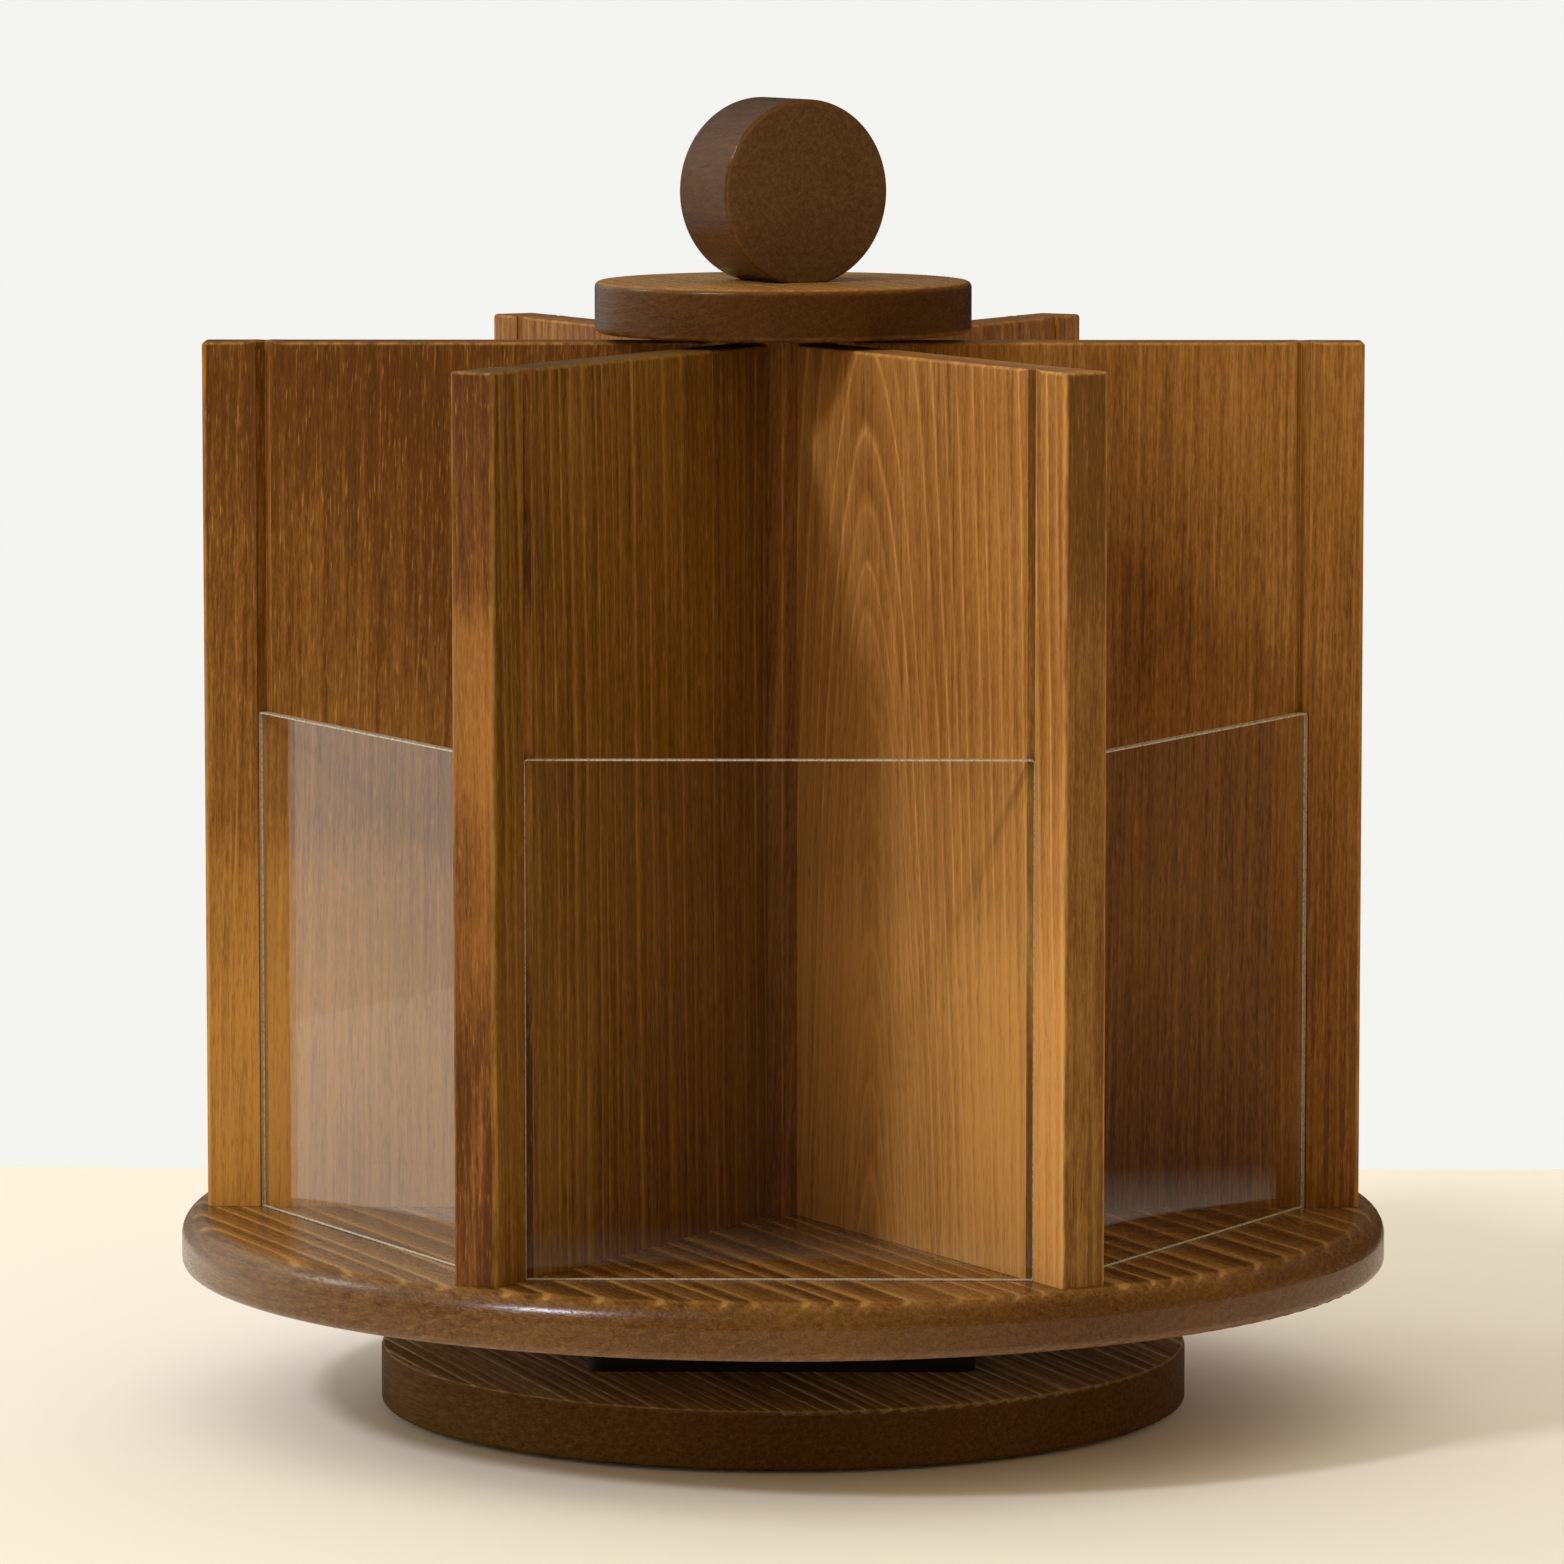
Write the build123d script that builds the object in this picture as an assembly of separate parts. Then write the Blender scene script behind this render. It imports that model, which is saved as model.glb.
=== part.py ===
from build123d import *
import os
from math import cos, radians, sin, sqrt

# Rotating wooden organizer: a round tray with radial dividers round a hub, clear panels that
# drop into grooves between the dividers, and a ball turntable on a smaller round base.
# The origin is on the turning axis, in the plane that the rubber feet stand on. +Z is up and
# the compartment at the front faces -Y. All lengths are in millimetres, all angles in degrees.

# Base and feet
base_diameter = 201.0
base_thickness = 14.2
base_edge_radius = 1.0
foot_diameter = 18.0
foot_thickness = 2.3
foot_recess_depth = 1.0
foot_edge_radius = 0.4
foot_inset = 7.5
foot_count = 4

# Dark spacer block between the base and the turntable bearing
spacer_thickness = 12.0
spacer_screw_inset = 16.5

# Turntable bearing: two square plates with races, balls in a cage, and an eyelet
plate_width = 95.0
plate_corner_radius = 4.0
plate_thickness = 1.5
plate_screw_inset = 9.0
ball_diameter = 5.0
ball_count = 16
ball_circle_radius = 33.0
ball_clearance = 0.05
race_floor = 0.35
race_wall = 1.3
cage_thickness = 0.7
cage_clearance = 0.3
cage_margin = 0.8
pocket_clearance = 0.15
eyelet_radius = 10.0
eyelet_wall = 1.0
eyelet_lip_width = 2.0
eyelet_lip_thickness = 0.8
eyelet_flange_width = 3.0
eyelet_clearance = 0.3
eyelet_well_margin = 0.7

# Tray
tray_diameter = 300.0
tray_thickness = 13.5
tray_top_radius = 6.0
tray_bottom_radius = 2.0

# Dividers and hub
compartments = 6
first_divider_angle = -60.0
divider_thickness = 12.0
divider_inset = 6.5
divider_height = 215.7
divider_edge_radius = 1.2
hub_across_flats = 35.0
hub_edge_chamfer = 0.6
cap_gap = 2.2

# Clear panels in their grooves
panel_thickness = 2.5
panel_height = 124.0
panel_inset = 15.1
panel_corner_radius = 1.0
groove_web = 8.0
groove_side_clearance = 0.2
groove_end_clearance = 0.3

# Cap disc and knob
cap_diameter = 93.2
cap_thickness = 12.7
cap_edge_radius = 1.5
knob_diameter = 45.8
knob_thickness = 24.0
knob_edge_radius = 1.0
knob_flat_depth = 0.8

# Fasteners
fastener_clearance = 0.05
wood_screw_diameter = 4.0
wood_screw_head_diameter = 8.0
wood_screw_head_height = 2.4
divider_screw_bite = 24.5
divider_screw_hub_inset = 46.5
divider_screw_groove_inset = 20.0
plate_screw_diameter = 3.5
plate_screw_head_diameter = 7.0
plate_screw_head_height = 1.9
hub_screw_diameter = 6.0
hub_screw_head_diameter = 12.0
hub_screw_head_height = 3.3
hub_screw_bite = 46.5
screw_cover = 4.0
screw_tip_length = 2.5
screw_head_rim = 0.4
crown_height_share = 0.45
crown_face_share = 0.75
drive_recess_share = 0.45
drive_slot_share = 0.15
drive_recess_depth = 1.2
dowel_diameter = 6.0
dowel_chamfer = 0.6
divider_dowel_in_divider = 15.0
divider_dowel_core_radius = 8.5
divider_dowel_inset = 45.0
divider_dowel_count = 3
dowel_end_clearance = 0.5
cap_dowel_in_cap = 7.0
cap_dowel_in_hub = 9.0
stud_diameter = 6.0
stud_in_hub = 30.0
stud_in_knob = 18.0
driver_hole_diameter = 12.0

# Length by which a cutting shape passes beyond the face that it opens
overrun = 1.0

# Heights of the stack, from the floor up
base_bottom = foot_thickness - foot_recess_depth
base_top = base_bottom + base_thickness
spacer_top = base_top + spacer_thickness
race_space = ball_diameter + 2 * race_floor
bearing_height = 2 * plate_thickness + race_space
ball_plane = spacer_top + bearing_height / 2
tray_bottom = spacer_top + bearing_height
tray_top = tray_bottom + tray_thickness
divider_top = tray_top + divider_height
hub_top = divider_top + cap_gap
cap_top = hub_top + cap_thickness
knob_middle = cap_top - knob_flat_depth + knob_diameter / 2

# Plan geometry that several pieces share
sector_angle = 360 / compartments
half_sine = sin(radians(sector_angle / 2))
half_cosine = cos(radians(sector_angle / 2))
foot_circle_radius = base_diameter / 2 - foot_inset - foot_diameter / 2
spacer_screw_spacing = plate_width - 2 * spacer_screw_inset
plate_screw_spacing = plate_width - 2 * plate_screw_inset
plate_screw_radius = plate_screw_spacing / sqrt(2)
race_half_width = ball_diameter / 2 + ball_clearance + race_wall
race_height = race_space / 2 - cage_thickness / 2 - cage_clearance
hub_apothem = hub_across_flats / 2
cap_dowel_circle_radius = (hub_apothem + stud_diameter / 2) / 2

# A panel crosses the two dividers' faces at groove_reach along them, at half a sector's turn
face_offset = divider_thickness / 2
divider_reach = tray_diameter / 2 - divider_inset
groove_reach = divider_reach - panel_inset
panel_distance = groove_reach * half_cosine + face_offset * half_sine
groove_width = panel_thickness + 2 * groove_side_clearance
groove_depth = ((divider_thickness - groove_web) / 2 - groove_width / 2 * half_sine) / half_cosine
groove_half_width = groove_reach * half_sine - face_offset * half_cosine + groove_depth
panel_half_width = groove_half_width - groove_end_clearance

# Screw lengths that follow what the screws pass through
spacer_screw_length = base_thickness + spacer_thickness - screw_cover
lower_plate_screw_length = plate_screw_head_height + plate_thickness + spacer_thickness - screw_cover
upper_plate_screw_length = plate_screw_head_height + plate_thickness + tray_thickness - screw_cover
divider_screw_length = tray_thickness + divider_screw_bite
divider_screw_radii = (
    hub_apothem + divider_screw_hub_inset,
    groove_reach - divider_screw_groove_inset,
)
hub_screw_length = tray_thickness + hub_screw_bite


def disc(diameter, low, high):
    """Upright cylinder on the turning axis between two heights."""
    return Pos(0, 0, low) * Cylinder(diameter / 2, high - low, align=(Align.CENTER, Align.CENTER, Align.MIN))


def block(x_low, x_high, y_low, y_high, z_low, z_high):
    """Box between the given coordinates."""
    size = (x_high - x_low, y_high - y_low, z_high - z_low)
    return Pos(x_low, y_low, z_low) * Box(*size, align=(Align.MIN, Align.MIN, Align.MIN))


def turned(shape, angle):
    """The shape turned about the turning axis."""
    return Rot(0, 0, angle) * shape


def ring_angles(count, first=0.0):
    """Evenly spaced angles round the turning axis."""
    return [first + k * 360 / count for k in range(count)]


def rounded_disc(diameter, low, high, low_radius, high_radius):
    """Turned wooden disc with rounded lower and upper rims."""
    body = disc(diameter, low, high)
    rims = body.edges().filter_by(GeomType.CIRCLE).sort_by(Axis.Z)
    body = fillet(rims[0], low_radius)
    rims = body.edges().filter_by(GeomType.CIRCLE).sort_by(Axis.Z)
    return fillet(rims[-1], high_radius)


def screw(diameter, head_diameter, head_height, length, countersunk, grow=0.0):
    """Screw on the Z axis, its drive face at z = 0, pointing up into the wood.

    A countersunk head lies above z = 0. A pan head starts at z = 0 too, and its seat is at
    head_height. With grow it is the hole that the same screw needs, without a drive recess.
    """
    shank = diameter / 2 + grow
    head = head_diameter / 2 + grow
    if countersunk:
        outline = [(0, -grow), (head, -grow), (head, screw_head_rim), (shank, head_height)]
    else:
        crown = head_height * crown_height_share
        crown_face = head * crown_face_share
        outline = [(0, 0), (crown_face, 0), (head, crown), (head, head_height), (shank, head_height)]
    outline += [(shank, length - screw_tip_length), (0, length + grow)]
    face = make_face(Polyline(*[(x, 0, z) for x, z in outline], close=True))
    body = revolve(face, Axis.Z)
    if grow == 0.0:
        arm = head_diameter * drive_recess_share / 2
        slot = head_diameter * drive_slot_share / 2
        body -= block(-arm, arm, -slot, slot, -overrun, drive_recess_depth)
        body -= block(-slot, slot, -arm, arm, -overrun, drive_recess_depth)
    return body


def dowel(length, grow=0.0):
    """Hardwood dowel along +Z from the origin, with chamfered ends, or its hole if it grows."""
    body = Cylinder(dowel_diameter / 2 + grow, length, align=(Align.CENTER, Align.CENTER, Align.MIN))
    if grow == 0.0:
        body = chamfer(body.edges().filter_by(GeomType.CIRCLE), dowel_chamfer)
    return body


def square_places(spacing):
    """Corners of a square of the given hole spacing."""
    return [(sx * spacing / 2, sy * spacing / 2) for sx in (-1, 1) for sy in (-1, 1)]


# Places of the fasteners: each function gives the solids, or their holes if they grow

def spacer_screws(grow=0.0):
    """Screws up through the base into the spacer block."""
    one = screw(
        wood_screw_diameter, wood_screw_head_diameter, wood_screw_head_height,
        spacer_screw_length, True, grow,
    )
    return [Pos(x, y, base_bottom) * one for x, y in square_places(spacer_screw_spacing)]


def lower_plate_screws(grow=0.0):
    """Pan head screws down through the lower bearing plate into the spacer block."""
    one = screw(
        plate_screw_diameter, plate_screw_head_diameter, plate_screw_head_height,
        lower_plate_screw_length, False, grow,
    )
    seat = spacer_top + plate_thickness + plate_screw_head_height
    return [Pos(x, y, seat) * Rot(180, 0, 0) * one for x, y in square_places(plate_screw_spacing)]


def upper_plate_screws(grow=0.0):
    """Pan head screws up through the upper bearing plate into the tray."""
    one = screw(
        plate_screw_diameter, plate_screw_head_diameter, plate_screw_head_height,
        upper_plate_screw_length, False, grow,
    )
    seat = tray_bottom - plate_thickness - plate_screw_head_height
    return [Pos(x, y, seat) * one for x, y in square_places(plate_screw_spacing)]


def divider_floor_screws(angle, grow=0.0):
    """Screws up through the tray into the foot of one divider."""
    one = screw(
        wood_screw_diameter, wood_screw_head_diameter, wood_screw_head_height,
        divider_screw_length, True, grow,
    )
    return [turned(Pos(radius, 0, tray_bottom) * one, angle) for radius in divider_screw_radii]


def hub_screw(grow=0.0):
    """Long screw up through the tray into the foot of the hub."""
    return Pos(0, 0, tray_bottom) * screw(
        hub_screw_diameter, hub_screw_head_diameter, hub_screw_head_height,
        hub_screw_length, True, grow,
    )


def divider_dowels(angle, grow=0.0):
    """Dowels between the hub and the inner edge of one divider."""
    ends = dowel_end_clearance if grow else 0.0
    start = divider_dowel_core_radius - ends
    length = hub_apothem + divider_dowel_in_divider + ends - start
    one = Rot(0, 90, 0) * dowel(length, grow)
    span = divider_height - 2 * divider_dowel_inset
    heights = [
        tray_top + divider_dowel_inset + span * k / (divider_dowel_count - 1)
        for k in range(divider_dowel_count)
    ]
    return [turned(Pos(start, 0, z) * one, angle) for z in heights]


def cap_dowels(grow=0.0):
    """Two dowels that keep the cap disc from turning on the hub."""
    ends = dowel_end_clearance if grow else 0.0
    low = hub_top - cap_dowel_in_hub - ends
    one = dowel(cap_dowel_in_cap + cap_dowel_in_hub + 2 * ends, grow)
    return [Pos(x, 0, low) * one for x in (-cap_dowel_circle_radius, cap_dowel_circle_radius)]


def knob_stud(grow=0.0):
    """Stud that ties the hub, the cap disc and the knob together."""
    ends = dowel_end_clearance if grow else 0.0
    body = disc(stud_diameter + 2 * grow, hub_top - stud_in_hub - ends, cap_top + stud_in_knob + ends)
    if grow == 0.0:
        body = chamfer(body.edges().filter_by(GeomType.CIRCLE), dowel_chamfer)
    return body


# Base, spacer and feet

def foot_places():
    """Places of the feet, on a circle under the rim of the base."""
    return [
        turned(Pos(foot_circle_radius, 0, 0), angle) for angle in ring_angles(foot_count, 180 / foot_count)
    ]


def make_feet():
    """Rubber feet, glued in shallow recesses under the base."""
    one = disc(foot_diameter, 0, foot_thickness)
    one = fillet(one.edges().filter_by(GeomType.CIRCLE).sort_by(Axis.Z)[0], foot_edge_radius)
    return [place * one for place in foot_places()]


def make_base():
    """Round base with foot recesses, countersunk screw holes and a driver hole at the back.

    The driver hole lets a screwdriver reach the upper plate's screws as the tray is turned.
    """
    body = rounded_disc(base_diameter, base_bottom, base_top, base_edge_radius, base_edge_radius)
    for place in foot_places():
        body -= place * disc(foot_diameter, base_bottom - overrun, base_bottom + foot_recess_depth)
    for hole in spacer_screws(fastener_clearance):
        body -= hole
    driver_hole = disc(driver_hole_diameter, base_bottom - overrun, base_top + overrun)
    return body - Pos(0, plate_screw_radius, 0) * driver_hole


def square_plate(low, high):
    """Square plate of the bearing's outline with rounded corners."""
    half = plate_width / 2
    body = block(-half, half, -half, half, low, high)
    return fillet(body.edges().filter_by(Axis.Z), plate_corner_radius)


def make_spacer():
    """Spacer block under the bearing, with a well for the eyelet's flange."""
    body = square_plate(base_top, spacer_top)
    well_radius = eyelet_radius + eyelet_flange_width + eyelet_well_margin
    well_depth = eyelet_clearance + eyelet_wall + eyelet_well_margin
    body -= disc(2 * well_radius, spacer_top - well_depth, spacer_top + overrun)
    for hole in spacer_screws(fastener_clearance) + lower_plate_screws(fastener_clearance):
        body -= hole
    return body


# Turntable bearing

def race_plate(low, high, race_low, race_high, screws):
    """Square plate with a raised race ring, whose groove runs round the balls."""
    body = square_plate(low, high)
    ring = disc(2 * (ball_circle_radius + race_half_width), race_low, race_high)
    ring -= disc(2 * (ball_circle_radius - race_half_width), race_low, race_high)
    body += ring
    body -= Pos(0, 0, ball_plane) * Torus(ball_circle_radius, ball_diameter / 2 + ball_clearance)
    for hole in screws:
        body -= hole
    return body


def make_lower_plate():
    """Lower bearing plate, screwed to the spacer block."""
    high = spacer_top + plate_thickness
    body = race_plate(
        spacer_top, high, high, high + race_height, lower_plate_screws(fastener_clearance)
    )
    return body - disc(2 * (eyelet_radius + eyelet_clearance), spacer_top - overrun, high + overrun)


def make_upper_plate():
    """Upper bearing plate, screwed to the tray, with a seat for the eyelet's lip."""
    low = tray_bottom - plate_thickness
    body = race_plate(low, tray_bottom, low - race_height, low, upper_plate_screws(fastener_clearance))
    body -= disc(2 * (eyelet_radius + fastener_clearance), low - overrun, tray_bottom + overrun)
    lip = 2 * (eyelet_radius + eyelet_lip_width + fastener_clearance)
    return body - disc(lip, tray_bottom - eyelet_lip_thickness, tray_bottom + overrun)


def make_eyelet():
    """Flanged eyelet through both plates, which keeps the bearing together when it is lifted."""
    flange_top = spacer_top - eyelet_clearance
    flange_low = flange_top - eyelet_wall
    body = disc(2 * eyelet_radius, flange_low, tray_bottom)
    body += disc(2 * (eyelet_radius + eyelet_flange_width), flange_low, flange_top)
    body += disc(
        2 * (eyelet_radius + eyelet_lip_width), tray_bottom - eyelet_lip_thickness, tray_bottom
    )
    return body - disc(2 * (eyelet_radius - eyelet_wall), flange_low - overrun, tray_bottom + overrun)


def ball_places():
    """Places of the ball centres on their circle."""
    return [turned(Pos(ball_circle_radius, 0, ball_plane), angle) for angle in ring_angles(ball_count)]


def make_balls():
    """Steel balls of the turntable bearing."""
    return [place * Sphere(ball_diameter / 2) for place in ball_places()]


def make_cage():
    """Flat cage ring with a pocket round each ball."""
    outer = ball_circle_radius + ball_diameter / 2 + cage_margin
    inner = ball_circle_radius - ball_diameter / 2 - cage_margin
    low = ball_plane - cage_thickness / 2
    high = ball_plane + cage_thickness / 2
    body = disc(2 * outer, low, high) - disc(2 * inner, low, high)
    for place in ball_places():
        body -= place * Cylinder(ball_diameter / 2 + pocket_clearance, 2 * cage_thickness)
    return body


# Carousel

def divider_angles():
    """Directions of the dividers."""
    return ring_angles(compartments, first_divider_angle)


def make_tray():
    """Round tray that carries the dividers, with a wide upper round and a small lower one."""
    body = rounded_disc(tray_diameter, tray_bottom, tray_top, tray_bottom_radius, tray_top_radius)
    holes = upper_plate_screws(fastener_clearance) + [hub_screw(fastener_clearance)]
    for angle in divider_angles():
        holes += divider_floor_screws(angle, fastener_clearance)
    for hole in holes:
        body -= hole
    return body


def make_hub():
    """Prismatic hub post, one flat for each divider."""
    outline = RegularPolygon(
        hub_apothem, compartments, major_radius=False, rotation=first_divider_angle + sector_angle / 2
    )
    body = Pos(0, 0, tray_top) * extrude(outline, hub_top - tray_top)
    body = chamfer(body.edges().filter_by(Axis.Z), hub_edge_chamfer)
    holes = [hub_screw(fastener_clearance), knob_stud(fastener_clearance)] + cap_dowels(fastener_clearance)
    for angle in divider_angles():
        holes += divider_dowels(angle, fastener_clearance)
    for hole in holes:
        body -= hole
    return body


def groove_cutter(angle):
    """Slot of one panel, as wide as its grooves are deep, open above the dividers."""
    low = panel_distance - groove_width / 2
    high = panel_distance + groove_width / 2
    cutter = block(low, high, -groove_half_width, groove_half_width, tray_top, divider_top)
    return turned(cutter, angle)


def make_divider(angle):
    """Upright divider with a slanted groove in each face for the panels on both sides."""
    body = block(hub_apothem, divider_reach, -face_offset, face_offset, tray_top, divider_top)
    outer = body.faces().sort_by(Axis.X)[-1]
    upper = body.faces().sort_by(Axis.Z)[-1]
    rounded = outer.edges().filter_by(Axis.Z) + upper.edges().filter_by(Axis.X)
    rounded += outer.edges().filter_by(Axis.Y).sort_by(Axis.Z)[-1:]
    body = fillet(rounded, divider_edge_radius)
    body -= groove_cutter(sector_angle / 2)
    body -= groove_cutter(-sector_angle / 2)
    body = turned(body, angle)
    for hole in divider_floor_screws(angle, fastener_clearance) + divider_dowels(angle, fastener_clearance):
        body -= hole
    return body


def make_panel(angle):
    """Clear panel that stands on the tray between two dividers, its side edges in their grooves."""
    low = panel_distance - panel_thickness / 2
    high = panel_distance + panel_thickness / 2
    body = block(low, high, -panel_half_width, panel_half_width, tray_top, tray_top + panel_height)
    upper = body.edges().filter_by(Axis.X).sort_by(Axis.Z)[-2:]
    return turned(fillet(upper, panel_corner_radius), angle)


def make_cap():
    """Cap disc on top of the hub."""
    body = rounded_disc(cap_diameter, hub_top, cap_top, cap_edge_radius, cap_edge_radius)
    for hole in cap_dowels(fastener_clearance) + [knob_stud(fastener_clearance)]:
        body -= hole
    return body


def make_knob():
    """Round knob on edge, with a narrow flat where it stands on the cap disc."""
    body = Cylinder(knob_diameter / 2, knob_thickness)
    body = fillet(body.edges().filter_by(GeomType.CIRCLE), knob_edge_radius)
    body = Pos(0, 0, knob_middle) * Rot(0, 90, 0) * body
    body = turned(body, first_divider_angle)
    body -= disc(2 * knob_diameter, cap_top - knob_diameter, cap_top)
    return body - knob_stud(fastener_clearance)


def all_nodes():
    """Every node's name with its solids."""
    nodes = {
        "base_disc": [make_base()],
        "foot_pads": make_feet(),
        "base_spacer": [make_spacer()],
        "spacer_screws": spacer_screws(),
        "bearing_lower_plate": [make_lower_plate()],
        "lower_plate_screws": lower_plate_screws(),
        "ball_cage": [make_cage()],
        "bearing_balls": make_balls(),
        "bearing_upper_plate": [make_upper_plate()],
        "bearing_eyelet": [make_eyelet()],
        "upper_plate_screws": upper_plate_screws(),
        "tray_disc": [make_tray()],
        "hub_post": [make_hub()],
        "hub_floor_screw": [hub_screw()],
        "cap_disc": [make_cap()],
        "cap_dowels": cap_dowels(),
        "knob": [make_knob()],
        "knob_stud": [knob_stud()],
    }
    floor_screws = []
    dowels = []
    for number, angle in enumerate(divider_angles(), start=1):
        nodes[f"divider_{number}"] = [make_divider(angle)]
        nodes[f"clear_panel_{number}"] = [make_panel(angle + sector_angle / 2)]
        floor_screws += divider_floor_screws(angle)
        dowels += divider_dowels(angle)
    nodes["divider_floor_screws"] = floor_screws
    nodes["divider_dowels"] = dowels
    return nodes


os.makedirs("parts", exist_ok=True)
for name, solids in all_nodes().items():
    shape = solids[0] if len(solids) == 1 else Compound(children=list(solids))
    shape.label = name
    export_step(shape, f"parts/{name}.step")
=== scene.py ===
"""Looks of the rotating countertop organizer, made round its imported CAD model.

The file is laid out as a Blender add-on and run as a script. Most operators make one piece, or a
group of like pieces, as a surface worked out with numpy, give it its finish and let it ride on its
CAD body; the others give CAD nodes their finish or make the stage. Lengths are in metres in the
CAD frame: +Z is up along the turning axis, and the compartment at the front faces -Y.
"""

from dataclasses import dataclass
from math import radians

import bpy
import numpy as np
from bpy.props import FloatProperty, FloatVectorProperty, IntProperty, PointerProperty
from bpy.types import NodeSocket, Operator, Panel, PropertyGroup
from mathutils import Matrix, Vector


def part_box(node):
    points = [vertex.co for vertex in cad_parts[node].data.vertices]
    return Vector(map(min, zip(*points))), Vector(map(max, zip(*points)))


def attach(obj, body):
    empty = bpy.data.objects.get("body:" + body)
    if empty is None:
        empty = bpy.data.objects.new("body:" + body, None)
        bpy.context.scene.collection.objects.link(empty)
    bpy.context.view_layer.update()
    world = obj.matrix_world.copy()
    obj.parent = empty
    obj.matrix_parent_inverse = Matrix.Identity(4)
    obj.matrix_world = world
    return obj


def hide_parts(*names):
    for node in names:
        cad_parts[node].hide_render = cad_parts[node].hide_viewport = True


bl_info = {
    "name": "Rotating Organizer Looks",
    "version": (1, 0, 0),
    "blender": (4, 5, 0),
    "location": "View3D > Sidebar > Organizer",
    "description": "Surfaces, finishes and stage of a rotating countertop organizer",
    "category": "Add Mesh",
}

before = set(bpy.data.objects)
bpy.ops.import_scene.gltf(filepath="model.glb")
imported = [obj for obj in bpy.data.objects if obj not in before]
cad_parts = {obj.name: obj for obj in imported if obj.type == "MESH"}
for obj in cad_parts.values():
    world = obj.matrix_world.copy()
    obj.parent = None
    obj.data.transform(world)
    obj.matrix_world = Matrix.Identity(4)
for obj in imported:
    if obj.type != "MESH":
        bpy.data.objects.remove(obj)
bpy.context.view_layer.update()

MM = 0.001
COMPARTMENTS = 6
DIVIDER_ANGLES = [-60 + 360 / COMPARTMENTS * k for k in range(COMPARTMENTS)]
KNOB_ANGLE = DIVIDER_ANGLES[0]
# Sides of the round pieces
CAP_SIDES = 240
KNOB_SIDES = 144
FOOT_SIDES = 64
# Index of refraction of the clear panels
ACRYLIC_IOR = 1.49
# Radius of edges that meet another piece, and distance of the extra points that keep flats flat
TIGHT_EDGE = 0.1 * MM
GUARD = 0.1 * MM
DIVIDER_GUARD = 0.04 * MM
# Share of a divider's edge radii that the round along its top has
TOP_SHARE = 0.75
UP = (0, 0, 1)


def srgb(red, green, blue):
    """Linear colour of an sRGB colour given from 0 to 255."""
    share = np.array((red, green, blue)) / 255
    linear = np.where(share <= 0.04045, share / 12.92, ((share + 0.055) / 1.055) ** 2.4)
    return tuple(float(value) for value in linear)


def size(name, description, millimetres):
    """Length property, its default given in millimetres."""
    return FloatProperty(name=name, description=description, default=millimetres * MM, unit="LENGTH")


class OrganizerSizes(PropertyGroup):
    """Small sizes of the pieces. The large ones come from the CAD frame."""

    round_steps: IntProperty(
        name="Round steps", description="Steps in each quarter round", default=6, min=2, max=16)
    divider_edge: size("Divider edge", "Radius along a divider's outer edges", 1.2)
    groove_edge: size("Groove edge", "Radius of the eased groove edges", 0.2)
    groove_side_play: size("Groove side play", "Gap on each face of a panel", 0.2)
    groove_end_play: size("Groove end play", "Gap at each end of a panel", 0.3)
    groove_ease: size("Groove ease", "Length over which a top edge narrows towards a groove", 3)
    hub_edge: size("Hub edge", "Radius of the hub's corners", 0.6)
    cap_edge: size("Cap rim", "Radius of the cap disc's rims", 1.5)
    knob_edge: size("Knob rim", "Radius of the knob's rims", 1)
    knob_thickness: size("Knob thickness", "Distance between the knob's faces", 24)
    knob_flat: size("Knob flat", "Depth of the flat that the knob stands on", 0.8)
    panel_corner: size("Panel corner", "Radius of a clear panel's upper corners", 1)
    panel_polish: size("Panel edge", "Radius of the polished panel edges", 0.25)
    foot_diameter: size("Foot diameter", "Diameter of a rubber foot", 18)
    foot_edge: size("Foot edge", "Radius of a foot's lower edge", 0.4)


def colour(name, description, value, highest=1):
    """Colour property with its default and the highest level of a channel."""
    return FloatVectorProperty(
        name=name, description=description, subtype="COLOR", size=3, min=0, max=highest, default=value)


class OrganizerFinish(PropertyGroup):
    """Colours of the finishes."""

    early_wood: colour("Early wood", "Dark, open part of each growth ring", srgb(108, 64, 24))
    middle_wood: colour("Middle wood", "Middle tone of the boards", srgb(142, 93, 44))
    late_wood: colour("Late wood", "Pale line that ends each growth ring", srgb(181, 127, 70))
    pore: colour("Pores", "Stain gathered in the open pores", srgb(63, 36, 12))
    dowel_beech: colour("Dowels", "Plain beech of the dowels", srgb(216, 186, 142))
    spacer_stain: colour("Spacer", "Stain of the spacer block", srgb(34, 24, 17))
    plate_black: colour("Bearing plates", "Coating of the bearing plates", srgb(22, 21, 20))
    screw_zinc: colour("Screws", "Zinc plating of the screws", srgb(196, 192, 170))
    ball_steel: colour("Balls", "Polished steel of the balls", srgb(205, 206, 208))
    cage_nylon: colour("Ball cage", "Natural nylon of the ball cage", srgb(214, 208, 188))
    foot_rubber: colour("Feet", "Rubber of the feet", srgb(30, 28, 27))
    acrylic: colour("Acrylic", "Tint of the clear panels", (0.97, 0.985, 0.98))
    # Painted light: the pale edge colour is partly the cut edge's haze and partly light gathered in the
    # panels
    acrylic_edge: colour("Acrylic edge", "Light gathered in the cut edges of the panels", srgb(208, 194, 168))


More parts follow.
